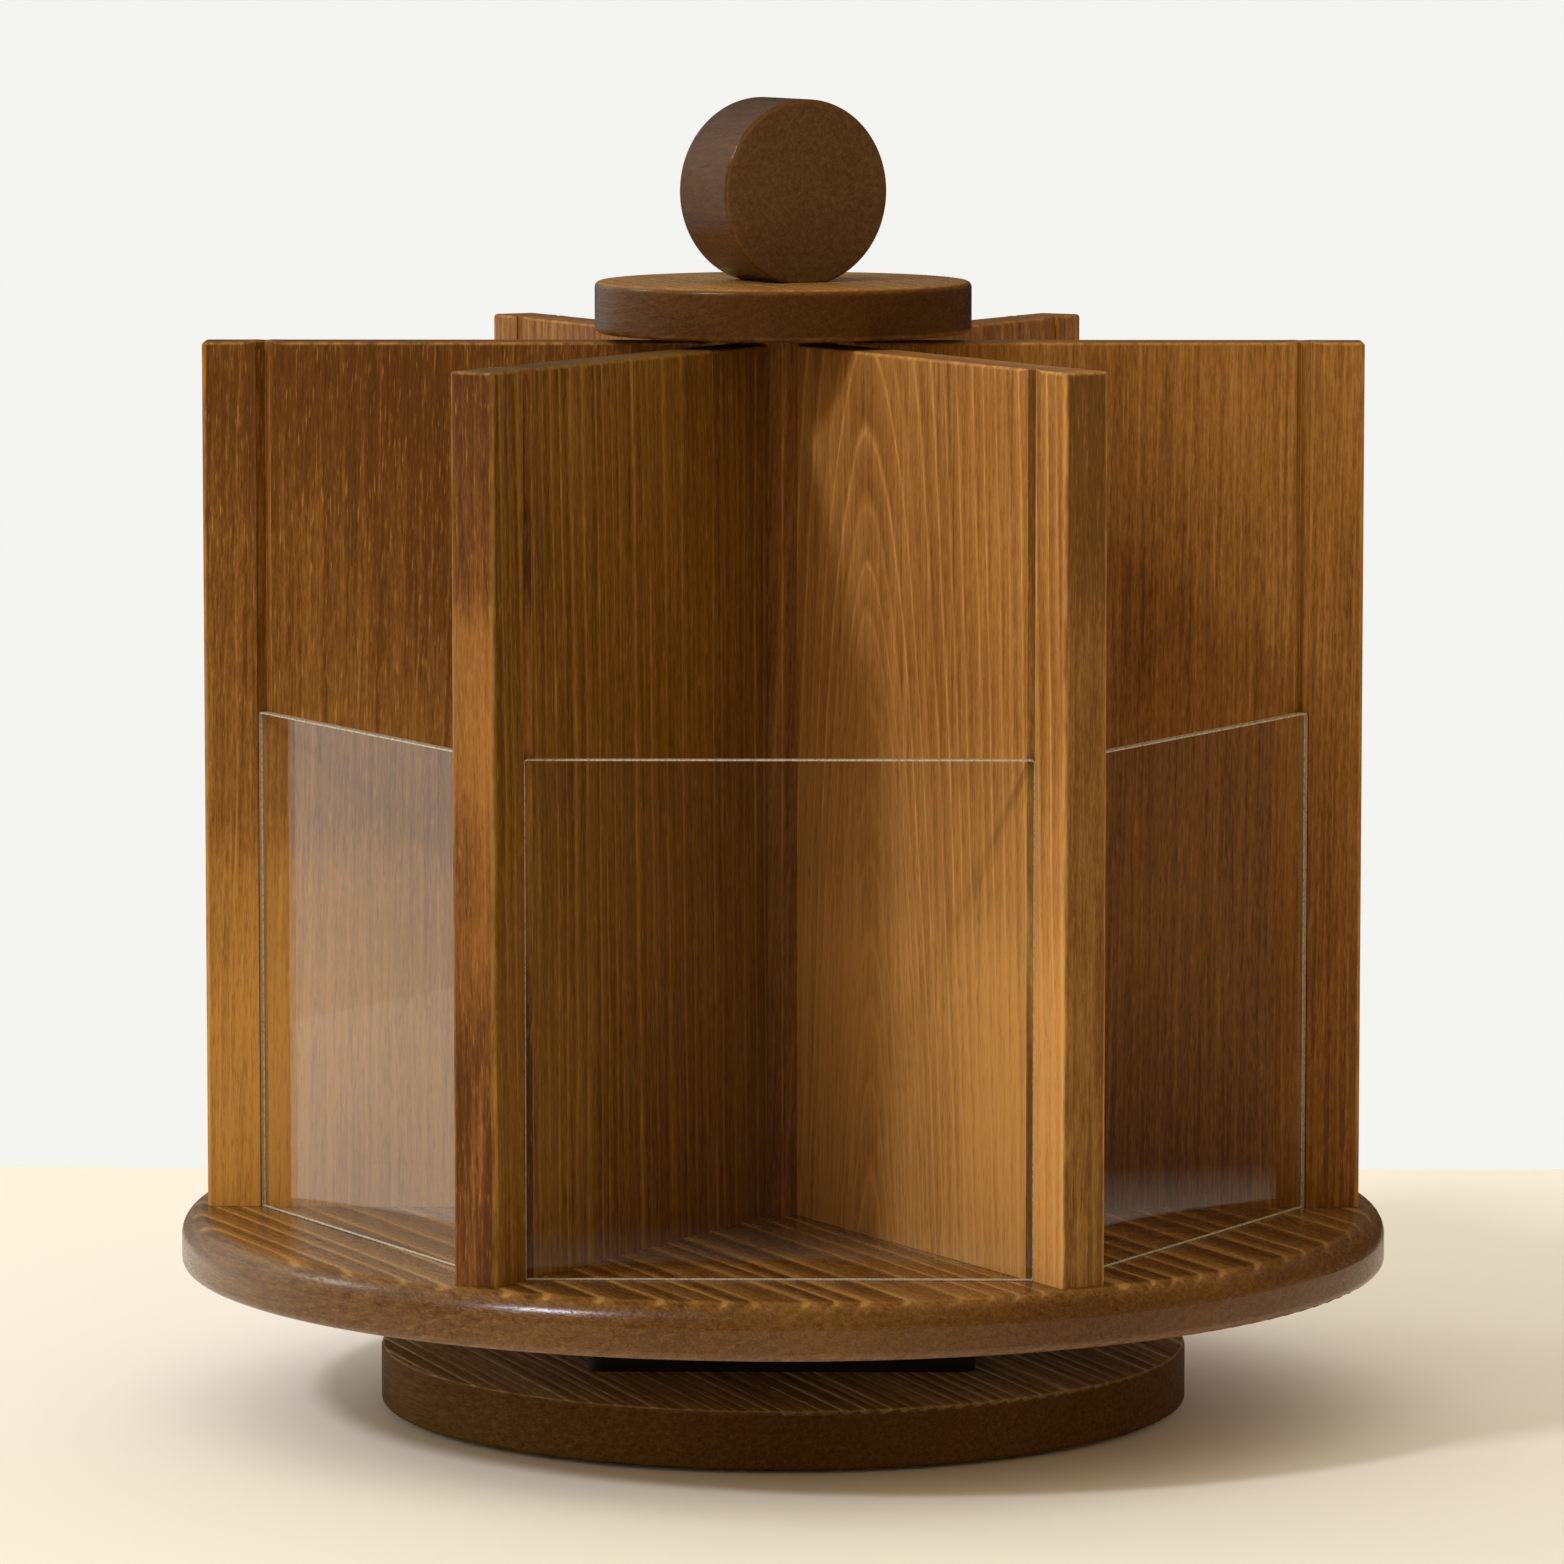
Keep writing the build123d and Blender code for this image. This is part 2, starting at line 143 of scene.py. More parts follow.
class OrganizerStage(PropertyGroup):
    """Floor, background and lamps. A light level of 1 shows a colour as it is written."""

    floor: colour("Floor", "Pale cream of the table", srgb(247, 237, 221))
    backdrop: colour("Backdrop", "Off-white behind the table", srgb(244, 244, 240))
    table_edge: FloatProperty(
        name="Table edge", description="Distance of the table's rear edge", default=0.372, unit="LENGTH")
    key_power: FloatProperty(
        name="Key light", description="Power of the lamp at the upper left", default=54.5, unit="POWER")
    window_power: FloatProperty(
        name="Window light", description="Power of the soft lamp at the rear left", default=10, unit="POWER")
    room_left: colour("Room left", "Light level from the left", (0.82, 0.86, 0.75), 2)
    room_right: colour("Room right", "Light level from the right", (0.36, 0.265, 0.11), 2)
    room_back: colour("Room back", "Light level from behind", (1.12, 1.02, 1.15), 2)
    room_front: colour("Room front", "Light level from the front", (0.5, 0.31, 0.1), 2)
    room_above: colour("Room above", "Light level from above", (0.47, 0.52, 0.46), 2)


# Surfaces

def surface(name, points, faces, wear=None):
    """Smooth object at the origin, from an array of points and from faces that point outwards.

    The attribute of a point that marks edge paleness, part rubbing and part painted highlight, is 0 on a flat
    and 1 in the middle of a rounded edge.
    """
    mesh = bpy.data.meshes.new(name)
    mesh.from_pydata(np.reshape(points, (-1, 3)).tolist(), [], faces)
    mesh.polygons.foreach_set("use_smooth", np.ones(len(mesh.polygons), bool))
    if wear is not None:
        attribute = mesh.attributes.new("wear", "FLOAT", "POINT")
        attribute.data.foreach_set("value", np.ravel(wear).astype(np.float32))
    mesh.update()
    piece = bpy.data.objects.new(name, mesh)
    bpy.context.scene.collection.objects.link(piece)
    return piece


def ring_faces(rings, around):
    """Quads between neighbouring rings, each closed round, and a flat face over both ends."""
    below = np.arange(rings - 1)[:, None] * around
    here = np.arange(around)[None, :]
    ahead = (here + 1) % around
    quads = np.stack((below + here, below + ahead, below + around + ahead, below + around + here), -1)
    lower = list(range(around - 1, -1, -1))
    upper = list(range((rings - 1) * around, rings * around))
    return quads.reshape(-1, 4).tolist() + [lower, upper]


def circle(radius, sides):
    """Points of a circle, counterclockwise, the unit vectors from them to its centre, and no wear."""
    turn = np.arange(sides) * 2 * np.pi / sides
    away = np.stack((np.cos(turn), np.sin(turn)), -1)
    return radius * away, -away, np.zeros(sides)


def rounded_outline(corners, radii, steps, guard=GUARD):
    """Counterclockwise outline with each corner rounded, its inward unit vectors and its edge paleness, part
    rubbing and part painted highlight.

    An arc starts where it touches the side before its corner, at the radius times the tangent of
    half the turn from the corner, and its heading turns evenly to that of the next side. A point
    at the guard's distance outside each end of an arc keeps the sides flat when shaded. The edge
    paleness rises to the middle of an arc as a sine.
    """
    corners = np.asarray(corners, float)
    radii = np.asarray(radii, float)[:, None]
    before = corners - np.roll(corners, 1, 0)
    before /= np.linalg.norm(before, axis=1, keepdims=True)
    after = np.roll(before, -1, 0)
    cross = before[:, 0] * after[:, 1] - before[:, 1] * after[:, 0]
    turn = np.arctan2(cross, (before * after).sum(1))[:, None]
    start = corners - before * radii * np.tan(np.abs(turn) / 2)
    share = np.linspace(0, 1, steps + 1)
    heading = np.arctan2(before[:, 1], before[:, 0])[:, None] + turn * share
    left = np.stack((-np.sin(heading), np.cos(heading)), -1)
    centre = start[:, None] + (np.sign(turn) * radii)[:, None] * left[:, :1]
    arcs = centre - (np.sign(turn) * radii)[:, None] * left
    lead_in = arcs[:, :1] - guard * before[:, None]
    lead_out = arcs[:, -1:] + guard * after[:, None]
    points = np.concatenate((lead_in, arcs, lead_out), 1)
    inward = np.concatenate((left[:, :1], left, left[:, -1:]), 1)
    wear = np.tile(np.concatenate(([0], np.sin(np.pi * share), [0])), len(corners))
    return points.reshape(-1, 2), inward.reshape(-1, 2), wear


def carried(outline, inward, wear, low, high, low_radius, high_radius, steps, guard=GUARD):
    """Rings of an outline carried from low to high, with a quarter round at both ends, and their edge
    paleness, part rubbing and part painted highlight.

    At angle a of a round the ring is drawn in by the radius times one less cosine a, and lies the
    radius times one less sine a from the end. A radius is one number or one for each point.
    """
    share = np.linspace(0, 1, steps + 1)
    angle = np.pi / 2 * share[:, None]
    insets, gaps = [], []
    for radius in (low_radius, high_radius):
        radius = np.broadcast_to(radius, len(outline))
        insets.append(np.concatenate(([0 * radius], radius * (1 - np.cos(angle)), [radius + guard])))
        gaps.append(np.concatenate(([radius + guard], radius * (1 - np.sin(angle)), [0 * radius])))
    inset = np.concatenate((insets[0][::-1], insets[1]))
    height = np.concatenate((low + gaps[0][::-1], high - gaps[1]))
    plan = outline[None] + inward[None] * inset[..., None]
    ring_wear_and_sheen = np.tile(np.concatenate(([0], np.sin(np.pi * share), [0])), 2)
    return np.concatenate((plan, height[..., None]), -1), np.maximum(ring_wear_and_sheen[:, None], wear[None])


def with_extra_points(reach, outline, *values):
    """Outline with a point added at the reach from both ends of each long side.

    It comes with which points are added, and with its other values. An added point takes those of
    the point that starts its side.
    """
    side = np.roll(outline, -1, 0) - outline
    length = np.linalg.norm(side, axis=1, keepdims=True)
    start = np.flatnonzero(length[:, 0] > 2.5 * reach)
    step = reach * side[start] / length[start]
    extra = np.stack((outline[start] + step, outline[start] + side[start] - step), 1).reshape(-1, 2)
    places = np.repeat(start + 1, 2)
    added = np.insert(np.zeros(len(outline), bool), places, True)
    others = [np.insert(value, places, value[places - 1], axis=0) for value in values]
    return np.insert(outline, places, extra, axis=0), added, *others


def outwards(angle):
    """Level unit vector at an angle about the turning axis."""
    turn = radians(angle)
    return (float(np.cos(turn)), float(np.sin(turn)), 0.0)


def side_axes(angle):
    """Axes of a piece that stands on edge: across, up and outwards at an angle about the axis."""
    return np.array((outwards(angle + 90), (0, 0, 1), outwards(angle)))


def turned(points, angle):
    """Points turned about the turning axis."""
    return points @ np.array((outwards(angle), outwards(angle + 90), (0, 0, 1)))


def settle(piece, body, slot, material, *nodes):
    """Gives a piece its finish, lets it ride on its body and hides the CAD nodes it stands for."""
    piece.data.materials.append(material)
    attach(piece, body)
    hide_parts(*nodes)
    return piece


def dress(material, *nodes):
    """Gives CAD nodes whose shape is right their finish."""
    for name in nodes:
        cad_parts[name].material_slots[0].material = material


# Materials

def new_material(name):
    """Material with its node tree and its surface shader."""
    material = bpy.data.materials.new(name)
    material.use_nodes = True
    tree = material.node_tree
    tree.nodes.clear()
    shader = tree.nodes.new("ShaderNodeBsdfPrincipled")
    tree.nodes.new("ShaderNodeOutputMaterial")
    show(tree, shader)
    return material, tree, shader


def show(tree, node):
    """Makes a shader node what the surface shows."""
    tree.links.new(node.outputs[0], tree.nodes["Material Output"].inputs["Surface"])


def set_inputs(tree, node, inputs):
    """Sets a node's inputs, each to a value or to another node's output."""
    for key, value in inputs.items():
        if isinstance(value, NodeSocket):
            tree.links.new(value, node.inputs[key])
        else:
            node.inputs[key].default_value = value


def add(tree, kind, inputs=None, **settings):
    """New node with its settings and its inputs."""
    node = tree.nodes.new(kind)
    for key, value in settings.items():
        setattr(node, key, value)
    set_inputs(tree, node, inputs or {})
    return node


def maths(tree, operation, first, second=0.0, third=0.0, clamp=False):
    """Output of a Math node."""
    inputs = {0: first, 1: second, 2: third}
    return add(tree, "ShaderNodeMath", inputs, operation=operation, use_clamp=clamp).outputs[0]


def vector_maths(tree, operation, first, second=(0, 0, 0), output="Vector"):
    """Output of a Vector Math node. A length and a dot product are its Value."""
    return add(tree, "ShaderNodeVectorMath", {0: first, 1: second}, operation=operation).outputs[output]


def part_of(tree, vector, axis):
    """One of the three numbers of a vector."""
    return add(tree, "ShaderNodeSeparateXYZ", {0: vector}).outputs[axis]


def noise(tree, vector, scale, detail=2.0, roughness=0.5, output="Fac"):
    """Noise texture on coordinates that are scaled by a vector."""
    scaled = vector_maths(tree, "MULTIPLY", vector, scale)
    inputs = {"Vector": scaled, "Scale": 1.0, "Detail": detail, "Roughness": roughness}
    return add(tree, "ShaderNodeTexNoise", inputs, noise_dimensions="3D").outputs[output]


def ramp(tree, factor, stops, interpolation="LINEAR"):
    """Colour ramp through stops, each a position and a colour or a grey level."""
    node = add(tree, "ShaderNodeValToRGB", {"Fac": factor})
    band = node.color_ramp
    band.interpolation = interpolation
    while len(band.elements) < len(stops):
        band.elements.new(1.0)
    for element, (position, value) in zip(band.elements, stops):
        element.position = position
        level = (value, value, value) if isinstance(value, (int, float)) else value
        element.color = (*level, 1.0)
    return node.outputs["Color"]


def remap(tree, value, low, high, to_low, to_high):
    """Value moved from one range to another and held inside it."""
    inputs = {"Value": value, "From Min": low, "From Max": high, "To Min": to_low, "To Max": to_high}
    return add(tree, "ShaderNodeMapRange", inputs).outputs[0]


def mixed(tree, factor, first, second, blend="MIX"):
    """Colour mixed from two by a factor."""
    colours = [value if isinstance(value, NodeSocket) else (*value, 1.0) for value in (first, second)]
    inputs = {0: factor, 6: colours[0], 7: colours[1]}
    return add(tree, "ShaderNodeMix", inputs, data_type="RGBA", blend_type=blend).outputs[2]


def tinted(colour_value, tint):
    """Colour times a tint, which is one number or one for each of red, green and blue."""
    return tuple(float(value) for value in np.minimum(np.multiply(colour_value, tint), 1.0))


def rim_wear_and_sheen(tree, place, rims):
    """Edge paleness attribute, part rubbing and part painted highlight, raised near rims of a disc: each a
    radius, a height and the reach of its paleness.
    """
    total = add(tree, "ShaderNodeAttribute", attribute_name="wear").outputs["Fac"]
    radius = vector_maths(tree, "LENGTH", vector_maths(tree, "MULTIPLY", place, (1, 1, 0)), output="Value")
    for rim_radius, height, reach in rims:
        gap = add(tree, "ShaderNodeCombineXYZ", {
            0: maths(tree, "SUBTRACT", radius, rim_radius),
            1: maths(tree, "SUBTRACT", part_of(tree, place, "Z"), height),
        }).outputs[0]
        away = vector_maths(tree, "LENGTH", gap, output="Value")
        total = maths(tree, "MAXIMUM", total, remap(tree, away, 0, reach, 1, 0))
    return total


# Wood

@dataclass
class Wood:
    """How the wood of one piece is cut and finished.

    In the board's own axes, in millimetres, the grain runs along Z through the pith.
    """

    name: str
    pith: tuple  # a place on the pith line, in metres
    turn: tuple  # turn of the board's axes, in degrees
    ring: float  # mean width of a growth ring
    tint: tuple  # factor of every colour
    seed: float  # shifts every noise
    lines: float = 1.0  # strength of the ring lines
    wave: float = 1.0  # how far the rings wander
    grain: float = 1.0  # strength of streaks, fibres and pores
    flecks: float = 0.25  # share of the pale rays
    taper: float = 0.0  # lean of the rings near the pith
    wear: float = 0.6  # paleness of the rounded edges, part wear and part painted highlight
    gloss: float = 0.46  # roughness of the varnish
    shine: float = 0.12  # specular level
    ior: float = 1.5
    rims: tuple = ()  # rims of a disc, paler from wear and a painted highlight: radius, height and reach in metres
    side: tuple = None  # a direction, and the tint of the faces that look that way, which paints their light and shade
    fades: tuple = None  # painted light and shade at heights of a divider, on its faces and on that side


# Scales of the noises per millimetre, twice across the grain and once along it
SLOW_BEND, QUICK_BEND = (0.014, 0.014, 0.0045), (0.16, 0.16, 0.014)
STREAKS, FIBRES, CLOUDS = (0.8, 0.8, 0.015), (2.0, 2.0, 0.24), (0.02, 0.02, 0.007)
PATCHES, GRIT, RAYS = (0.5, 0.5, 0.08), (2.6, 2.6, 0.22), (2.4, 2.4, 0.16)
SEED_SHIFT = (37.0, 53.0, 71.0)
RAY_SHIFT = (411.0, 173.0, 89.0)
# Reach of the bends across the grain, and the square of the radius at which a taper is halved
SLOW_REACH, QUICK_REACH, TAPER_SQUARE = 9.0, 0.8, 600.0
# How fast the ring width drifts, and by how many rings
DRIFT_PACE, DRIFT_REACH = 0.37, 1.5
# Strength of the faintest and the boldest year's line, and the part of it left on end grain and rims
FAINT_LINE, BOLD_LINE, END_LINES, RIM_LINES = 0.1, 0.5, 0.3, 0.12
# How far the noises move the tone, and how much stain the pores and the end grain take
STREAK_SHARE, FIBRE_SHARE, CLOUD_SHARE = 0.36, 0.5, 0.26
PORE_STAIN, END_STAIN = 0.38, 0.4
# What pores and worn edges add to the roughness, and what fibres, pores and rings add to the relief
PORE_ROUGH, WORN_ROUGH = 0.18, -0.08
FIBRE_RELIEF, PORE_RELIEF, RING_RELIEF = 0.5, -0.8, 0.15
# Tone inside a ring: it falls to the open early wood, climbs slowly and ends in a thin pale line
RING_TONES = ((0.0, 0.42), (0.1, 0.2), (0.35, 0.3), (0.76, 0.5), (0.86, 1.0), (0.93, 0.8), (1.0, 0.42))
# Tone inside a ring that changes nothing, and tone of the wood there
PLAIN_RING, PLAIN_TONE = 0.42, 0.46


def board_axes(tree, cut, place):
    """Coordinates in the board's own axes, in millimetres, and the same shifted by the seed."""
    board = add(tree, "ShaderNodeMapping", {
        "Vector": place, "Location": cut.pith, "Scale": (MM, MM, MM),
        "Rotation": [radians(angle) for angle in cut.turn],
    }, vector_type="TEXTURE").outputs[0]
    return board, vector_maths(tree, "ADD", board, tuple(cut.seed * shift for shift in SEED_SHIFT))


def ring_number(tree, cut, board, seeded):
    """Distance from the pith over the ring width, bent by slow and quick noise.

    Near the pith the taper times the height is added to the distance, which draws pointed arches
    on a flat face. Noise along the ring number itself makes some rings wide and others narrow.
    """
    bent = board
    for scale, detail, reach in ((SLOW_BEND, 2, SLOW_REACH), (QUICK_BEND, 3, QUICK_REACH)):
        bend = noise(tree, seeded, scale, detail, output="Color")
        bend = vector_maths(tree, "SUBTRACT", bend, (0.5, 0.5, 0.5))
        across = (reach * cut.wave, reach * cut.wave, 0)
        bent = vector_maths(tree, "ADD", bent, vector_maths(tree, "MULTIPLY", bend, across))
    radius = vector_maths(tree, "LENGTH", vector_maths(tree, "MULTIPLY", bent, (1, 1, 0)), output="Value")
    if cut.taper:
        lean = maths(tree, "MULTIPLY", part_of(tree, bent, "Z"), cut.taper)
        square = maths(tree, "MULTIPLY_ADD", radius, radius, TAPER_SQUARE)
        radius = maths(tree, "MULTIPLY_ADD", lean, maths(tree, "DIVIDE", TAPER_SQUARE, square), radius)
    number = maths(tree, "DIVIDE", radius, cut.ring)
    drift = add(tree, "ShaderNodeTexNoise", {
        "W": maths(tree, "MULTIPLY", number, DRIFT_PACE), "Scale": 1.0, "Detail": 1.0,
    }, noise_dimensions="1D").outputs["Fac"]
    return maths(tree, "MULTIPLY_ADD", drift, DRIFT_REACH, number)


def end_grain_share(tree, cut, normal):
    """One where a face cuts straight across the grain, falling to zero along it."""
    along = add(tree, "ShaderNodeVectorRotate", {
        "Vector": (0, 0, 1), "Rotation": [radians(angle) for angle in cut.turn],
    }, rotation_type="EULER_XYZ").outputs[0]
    facing = vector_maths(tree, "DOT_PRODUCT", normal, along, output="Value")
    return maths(tree, "POWER", maths(tree, "ABSOLUTE", facing), 2.0)


def line_strength(tree, cut, number, end_grain, patches, normal):
    """How strongly a ring shows: by its year and in patches, less on end grain, faintly on a rim."""
    year = add(tree, "ShaderNodeTexWhiteNoise", {"W": maths(tree, "FLOOR", number)}, noise_dimensions="1D")
    low, high = FAINT_LINE * cut.lines, BOLD_LINE * cut.lines
    strength = remap(tree, year.outputs["Value"], 0, 1, low, high)
    strength = maths(tree, "MULTIPLY", strength, remap(tree, end_grain, 0, 1, 1, END_LINES))
    strength = maths(tree, "MULTIPLY", strength, maths(tree, "ADD", patches, 0.3))
    if cut.rims:
        on_top = remap(tree, part_of(tree, normal, "Z"), 0.8, 0.99, RIM_LINES, 1)
        strength = maths(tree, "MULTIPLY", strength, on_top)
    return strength


def varied(tree, tone, texture, low, high, amount):
    """Tone changed by half the amount down and up as a texture goes from low to high."""
    return maths(tree, "MULTIPLY_ADD", remap(tree, texture, low, high, -0.5, 0.5), amount, tone)


def with_painted_height_light(tree, tone, fades, place, painted_side_share):
    """Tone of a divider changed by the tones of painted light and shade at each height, which are 0.5 where
    nothing changes.
    """
    low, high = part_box("divider_2")
    share = remap(tree, part_of(tree, place, "Z"), low.z, high.z, 0, 1)
    faces, edge = (maths(tree, "SUBTRACT", ramp(tree, share, stops, "EASE"), 0.5) for stops in fades)
    change = maths(tree, "MULTIPLY_ADD", maths(tree, "SUBTRACT", edge, faces), painted_side_share, faces)
    return maths(tree, "ADD", tone, change)


def wood(cut):
    """Satin wood whose growth rings lie round a pith line.

    The tone follows the rings. Long thin noise gives streaks and fibres, its darkest parts are the
    open pores and its palest the rays. On end grain the rings fade. Rounded edges are rubbed
    smoother and painted paler, partly as rubbed wood and partly as a painted highlight, and pores are
    dull and sunk a little. Faces that look one way, and a divider at each height, can be tinted
    apart, which paints light and shade.
    """
    finish = bpy.context.scene.organizer_finish
    material, tree, shader = new_material(cut.name)
    coordinates = add(tree, "ShaderNodeTexCoord")
    place, normal = coordinates.outputs["Object"], coordinates.outputs["Normal"]
    board, seeded = board_axes(tree, cut, place)
    number = ring_number(tree, cut, board, seeded)
    growth = ramp(tree, maths(tree, "FRACT", number), RING_TONES)
    end_grain = end_grain_share(tree, cut, normal)
    fibre = noise(tree, seeded, FIBRES, 4, 0.75)
    patches = remap(tree, noise(tree, seeded, PATCHES, 3, 0.6), 0.38, 0.62, 0.2, 1)
    grit = remap(tree, noise(tree, seeded, GRIT, 2, 0.5), 0.55, 0.7, 0, cut.grain)
    pores = maths(tree, "MULTIPLY", grit, remap(tree, growth, 0.1, 0.8, 1, 0.3))
    edge_wear_and_sheen = maths(tree, "MULTIPLY", rim_wear_and_sheen(tree, place, cut.rims), patches)

    strength = line_strength(tree, cut, number, end_grain, patches, normal)
    tone = maths(tree, "MULTIPLY_ADD", maths(tree, "SUBTRACT", growth, PLAIN_RING), strength, PLAIN_TONE)
    streaks, clouds = noise(tree, seeded, STREAKS, 3, 0.62), noise(tree, seeded, CLOUDS, 2)
    tone = varied(tree, tone, streaks, 0.25, 0.75, STREAK_SHARE * cut.grain)
    tone = varied(tree, tone, fibre, 0.2, 0.8, FIBRE_SHARE * cut.grain)
    tone = varied(tree, tone, clouds, 0.25, 0.75, CLOUD_SHARE)
    # Painted light and shade: faces that look the given way get their own tint
    if cut.side:
        facing = vector_maths(tree, "DOT_PRODUCT", normal, cut.side[0], output="Value")
        painted_side_share = remap(tree, facing, 0.6, 0.9, 0, 1)
    # Painted light and shade: the tone changes with a divider's height, apart on its faces and its outer edge
    if cut.fades:
        tone = with_painted_height_light(tree, tone, cut.fades, place, painted_side_share)

    tones = (finish.early_wood, finish.middle_wood, finish.late_wood, finish.pore)
    early, middle, late, stain = (tinted(part, cut.tint) for part in tones)
    body = ramp(tree, tone, (
        (0.0, tinted(early, 0.7)), (0.25, early), (0.5, middle), (0.85, late), (1.0, tinted(late, 1.2))))
    # Painted light and shade: the tint of the faces that look the given way
    if cut.side:
        body = mixed(tree, painted_side_share, body, cut.side[1], "MULTIPLY")
    body = mixed(tree, maths(tree, "MULTIPLY", pores, PORE_STAIN), body, stain)
    rays = noise(tree, vector_maths(tree, "ADD", seeded, RAY_SHIFT), RAYS, 2, 0.5)
    body = mixed(tree, remap(tree, rays, 0.6, 0.74, 0, cut.flecks), body, tinted(late, 1.25))
    body = mixed(tree, maths(tree, "MULTIPLY", end_grain, END_STAIN), body, tinted(early, 0.85))
    # Painted highlight and wear: rounded edges turn paler
    body = mixed(tree, maths(tree, "MULTIPLY", edge_wear_and_sheen, cut.wear), body, tinted(late, 1.2))

    rough = remap(tree, fibre, 0.2, 0.8, cut.gloss - 0.05, cut.gloss + 0.07)
    rough = maths(tree, "MULTIPLY_ADD", pores, PORE_ROUGH, rough)
    rough = maths(tree, "MULTIPLY_ADD", edge_wear_and_sheen, WORN_ROUGH, rough)
    relief = maths(tree, "MULTIPLY", fibre, FIBRE_RELIEF)
    relief = maths(tree, "MULTIPLY_ADD", pores, PORE_RELIEF, relief)
    relief = maths(tree, "MULTIPLY_ADD", growth, RING_RELIEF, relief)
    bump = add(tree, "ShaderNodeBump", {"Strength": 0.35, "Distance": 0.15 * MM, "Height": relief})
    set_inputs(tree, shader, {
        "Base Color": body, "Roughness": rough, "Specular IOR Level": cut.shine, "IOR": cut.ior,
        "Normal": bump.outputs[0],
    })
    return material


# Other materials

def acrylic_material():
    """Clear acrylic with faint handling marks. Shadow and diffuse rays pass straight through it."""
    finish = bpy.context.scene.organizer_finish
    material, tree, shader = new_material("clear_acrylic")
    place = add(tree, "ShaderNodeTexCoord").outputs["Object"]
    marks = noise(tree, place, (90, 90, 90), 6, 0.7)
    set_inputs(tree, shader, {
        "Base Color": (*finish.acrylic, 1), "Roughness": remap(tree, marks, 0.5, 0.8, 0.0, 0.012),
        "Transmission Weight": 1.0, "IOR": ACRYLIC_IOR,
    })
    clear = add(tree, "ShaderNodeBsdfTransparent")
    path = add(tree, "ShaderNodeLightPath")
    through = maths(tree, "MAXIMUM", path.outputs["Is Shadow Ray"], path.outputs["Is Diffuse Ray"])
    show(tree, add(tree, "ShaderNodeMixShader", {0: through, 1: shader.outputs[0], 2: clear.outputs[0]}))
    return material


def mottled(tree, texture, base, light, dark):
    """Colour that goes from a dark to a light tint of a base with a texture."""
    share = remap(tree, texture, 0.3, 0.7, 0, 1)
    return mixed(tree, share, tinted(base, dark), tinted(base, light))


def edge_material():
    """Cut and flame-polished acrylic edge, slightly hazy, whose pale colour paints the light gathered in the
    sheet.
    """
    finish = bpy.context.scene.organizer_finish
    material, tree, shader = new_material("acrylic_edge")
    place = add(tree, "ShaderNodeTexCoord").outputs["Object"]
    saw = noise(tree, place, (1200, 1200, 1200), 3, 0.6)
    set_inputs(tree, shader, {
        # Painted light: the pale edge colour stands for light gathered in the sheet
        "Base Color": mottled(tree, saw, finish.acrylic_edge, 1.1, 0.85),
        "Roughness": remap(tree, saw, 0.3, 0.7, 0.2, 0.4), "Transmission Weight": 0.35, "IOR": ACRYLIC_IOR,
    })
    return material


def plain_material(name, base, rough, metallic=0.0, grain=(400, 400, 400), relief=0.05, variation=0.12):
    """Even finish with fine mottling in its tone, its gloss and its relief."""
    material, tree, shader = new_material(name)
    place = add(tree, "ShaderNodeTexCoord").outputs["Object"]
    mottle = noise(tree, place, grain, 4, 0.6)
    bump = add(tree, "ShaderNodeBump", {"Strength": relief, "Distance": 0.1 * MM, "Height": mottle})
    set_inputs(tree, shader, {
        "Base Color": mottled(tree, mottle, base, 1 + variation, 1 - variation), "Metallic": metallic,
        "Roughness": remap(tree, mottle, 0.3, 0.7, 0.85 * rough, 1.15 * rough), "Normal": bump.outputs[0],
    })
    return material


# Pieces

def divider_outline(sizes):
    """Outline of a divider along +X with a slanted groove in each face, and its edge radii.

    A groove's walls lie half its width to both sides of the panel's middle plane, which crosses
    the divider at half a sector's turn, and its floor lies at the panel's end plus the end play.
    """
    low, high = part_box("divider_2")
    panel_low, panel_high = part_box("clear_panel_6")
    hub_face, reach, face = low.x, high.x, high.y
    distance = -(panel_low.y + panel_high.y) / 2
    half_width = (panel_high.y - panel_low.y) / 2 + sizes.groove_side_play
    floor = panel_high.x + sizes.groove_end_play
    sine, cosine = np.sin(np.pi / COMPARTMENTS), np.cos(np.pi / COMPARTMENTS)
    walls = np.array((distance - half_width, distance + half_width))
    mouths = (walls - face * sine) / cosine
    floor_x = walls * cosine + floor * sine
    floor_y = floor * cosine - walls * sine
    rows = [
        (hub_face, -face, TIGHT_EDGE / 2), (mouths[0], -face, sizes.groove_edge),
        (floor_x[0], floor_y[0], sizes.groove_edge), (floor_x[1], floor_y[1], sizes.groove_edge),
        (mouths[1], -face, sizes.groove_edge), (reach, -face, sizes.divider_edge),
    ]
    corners = [(x, y) for x, y, radius in rows] + [(x, -y) for x, y, radius in reversed(rows)]
    radii = [radius for x, y, radius in rows]
    return corners, radii + radii[::-1]


# Height of every divider's pith above the table, in millimetres, and painted height tones that change nothing
PITH_HEIGHT = 233
LEVEL = ((0.0, 0.5), (1.0, 0.5))
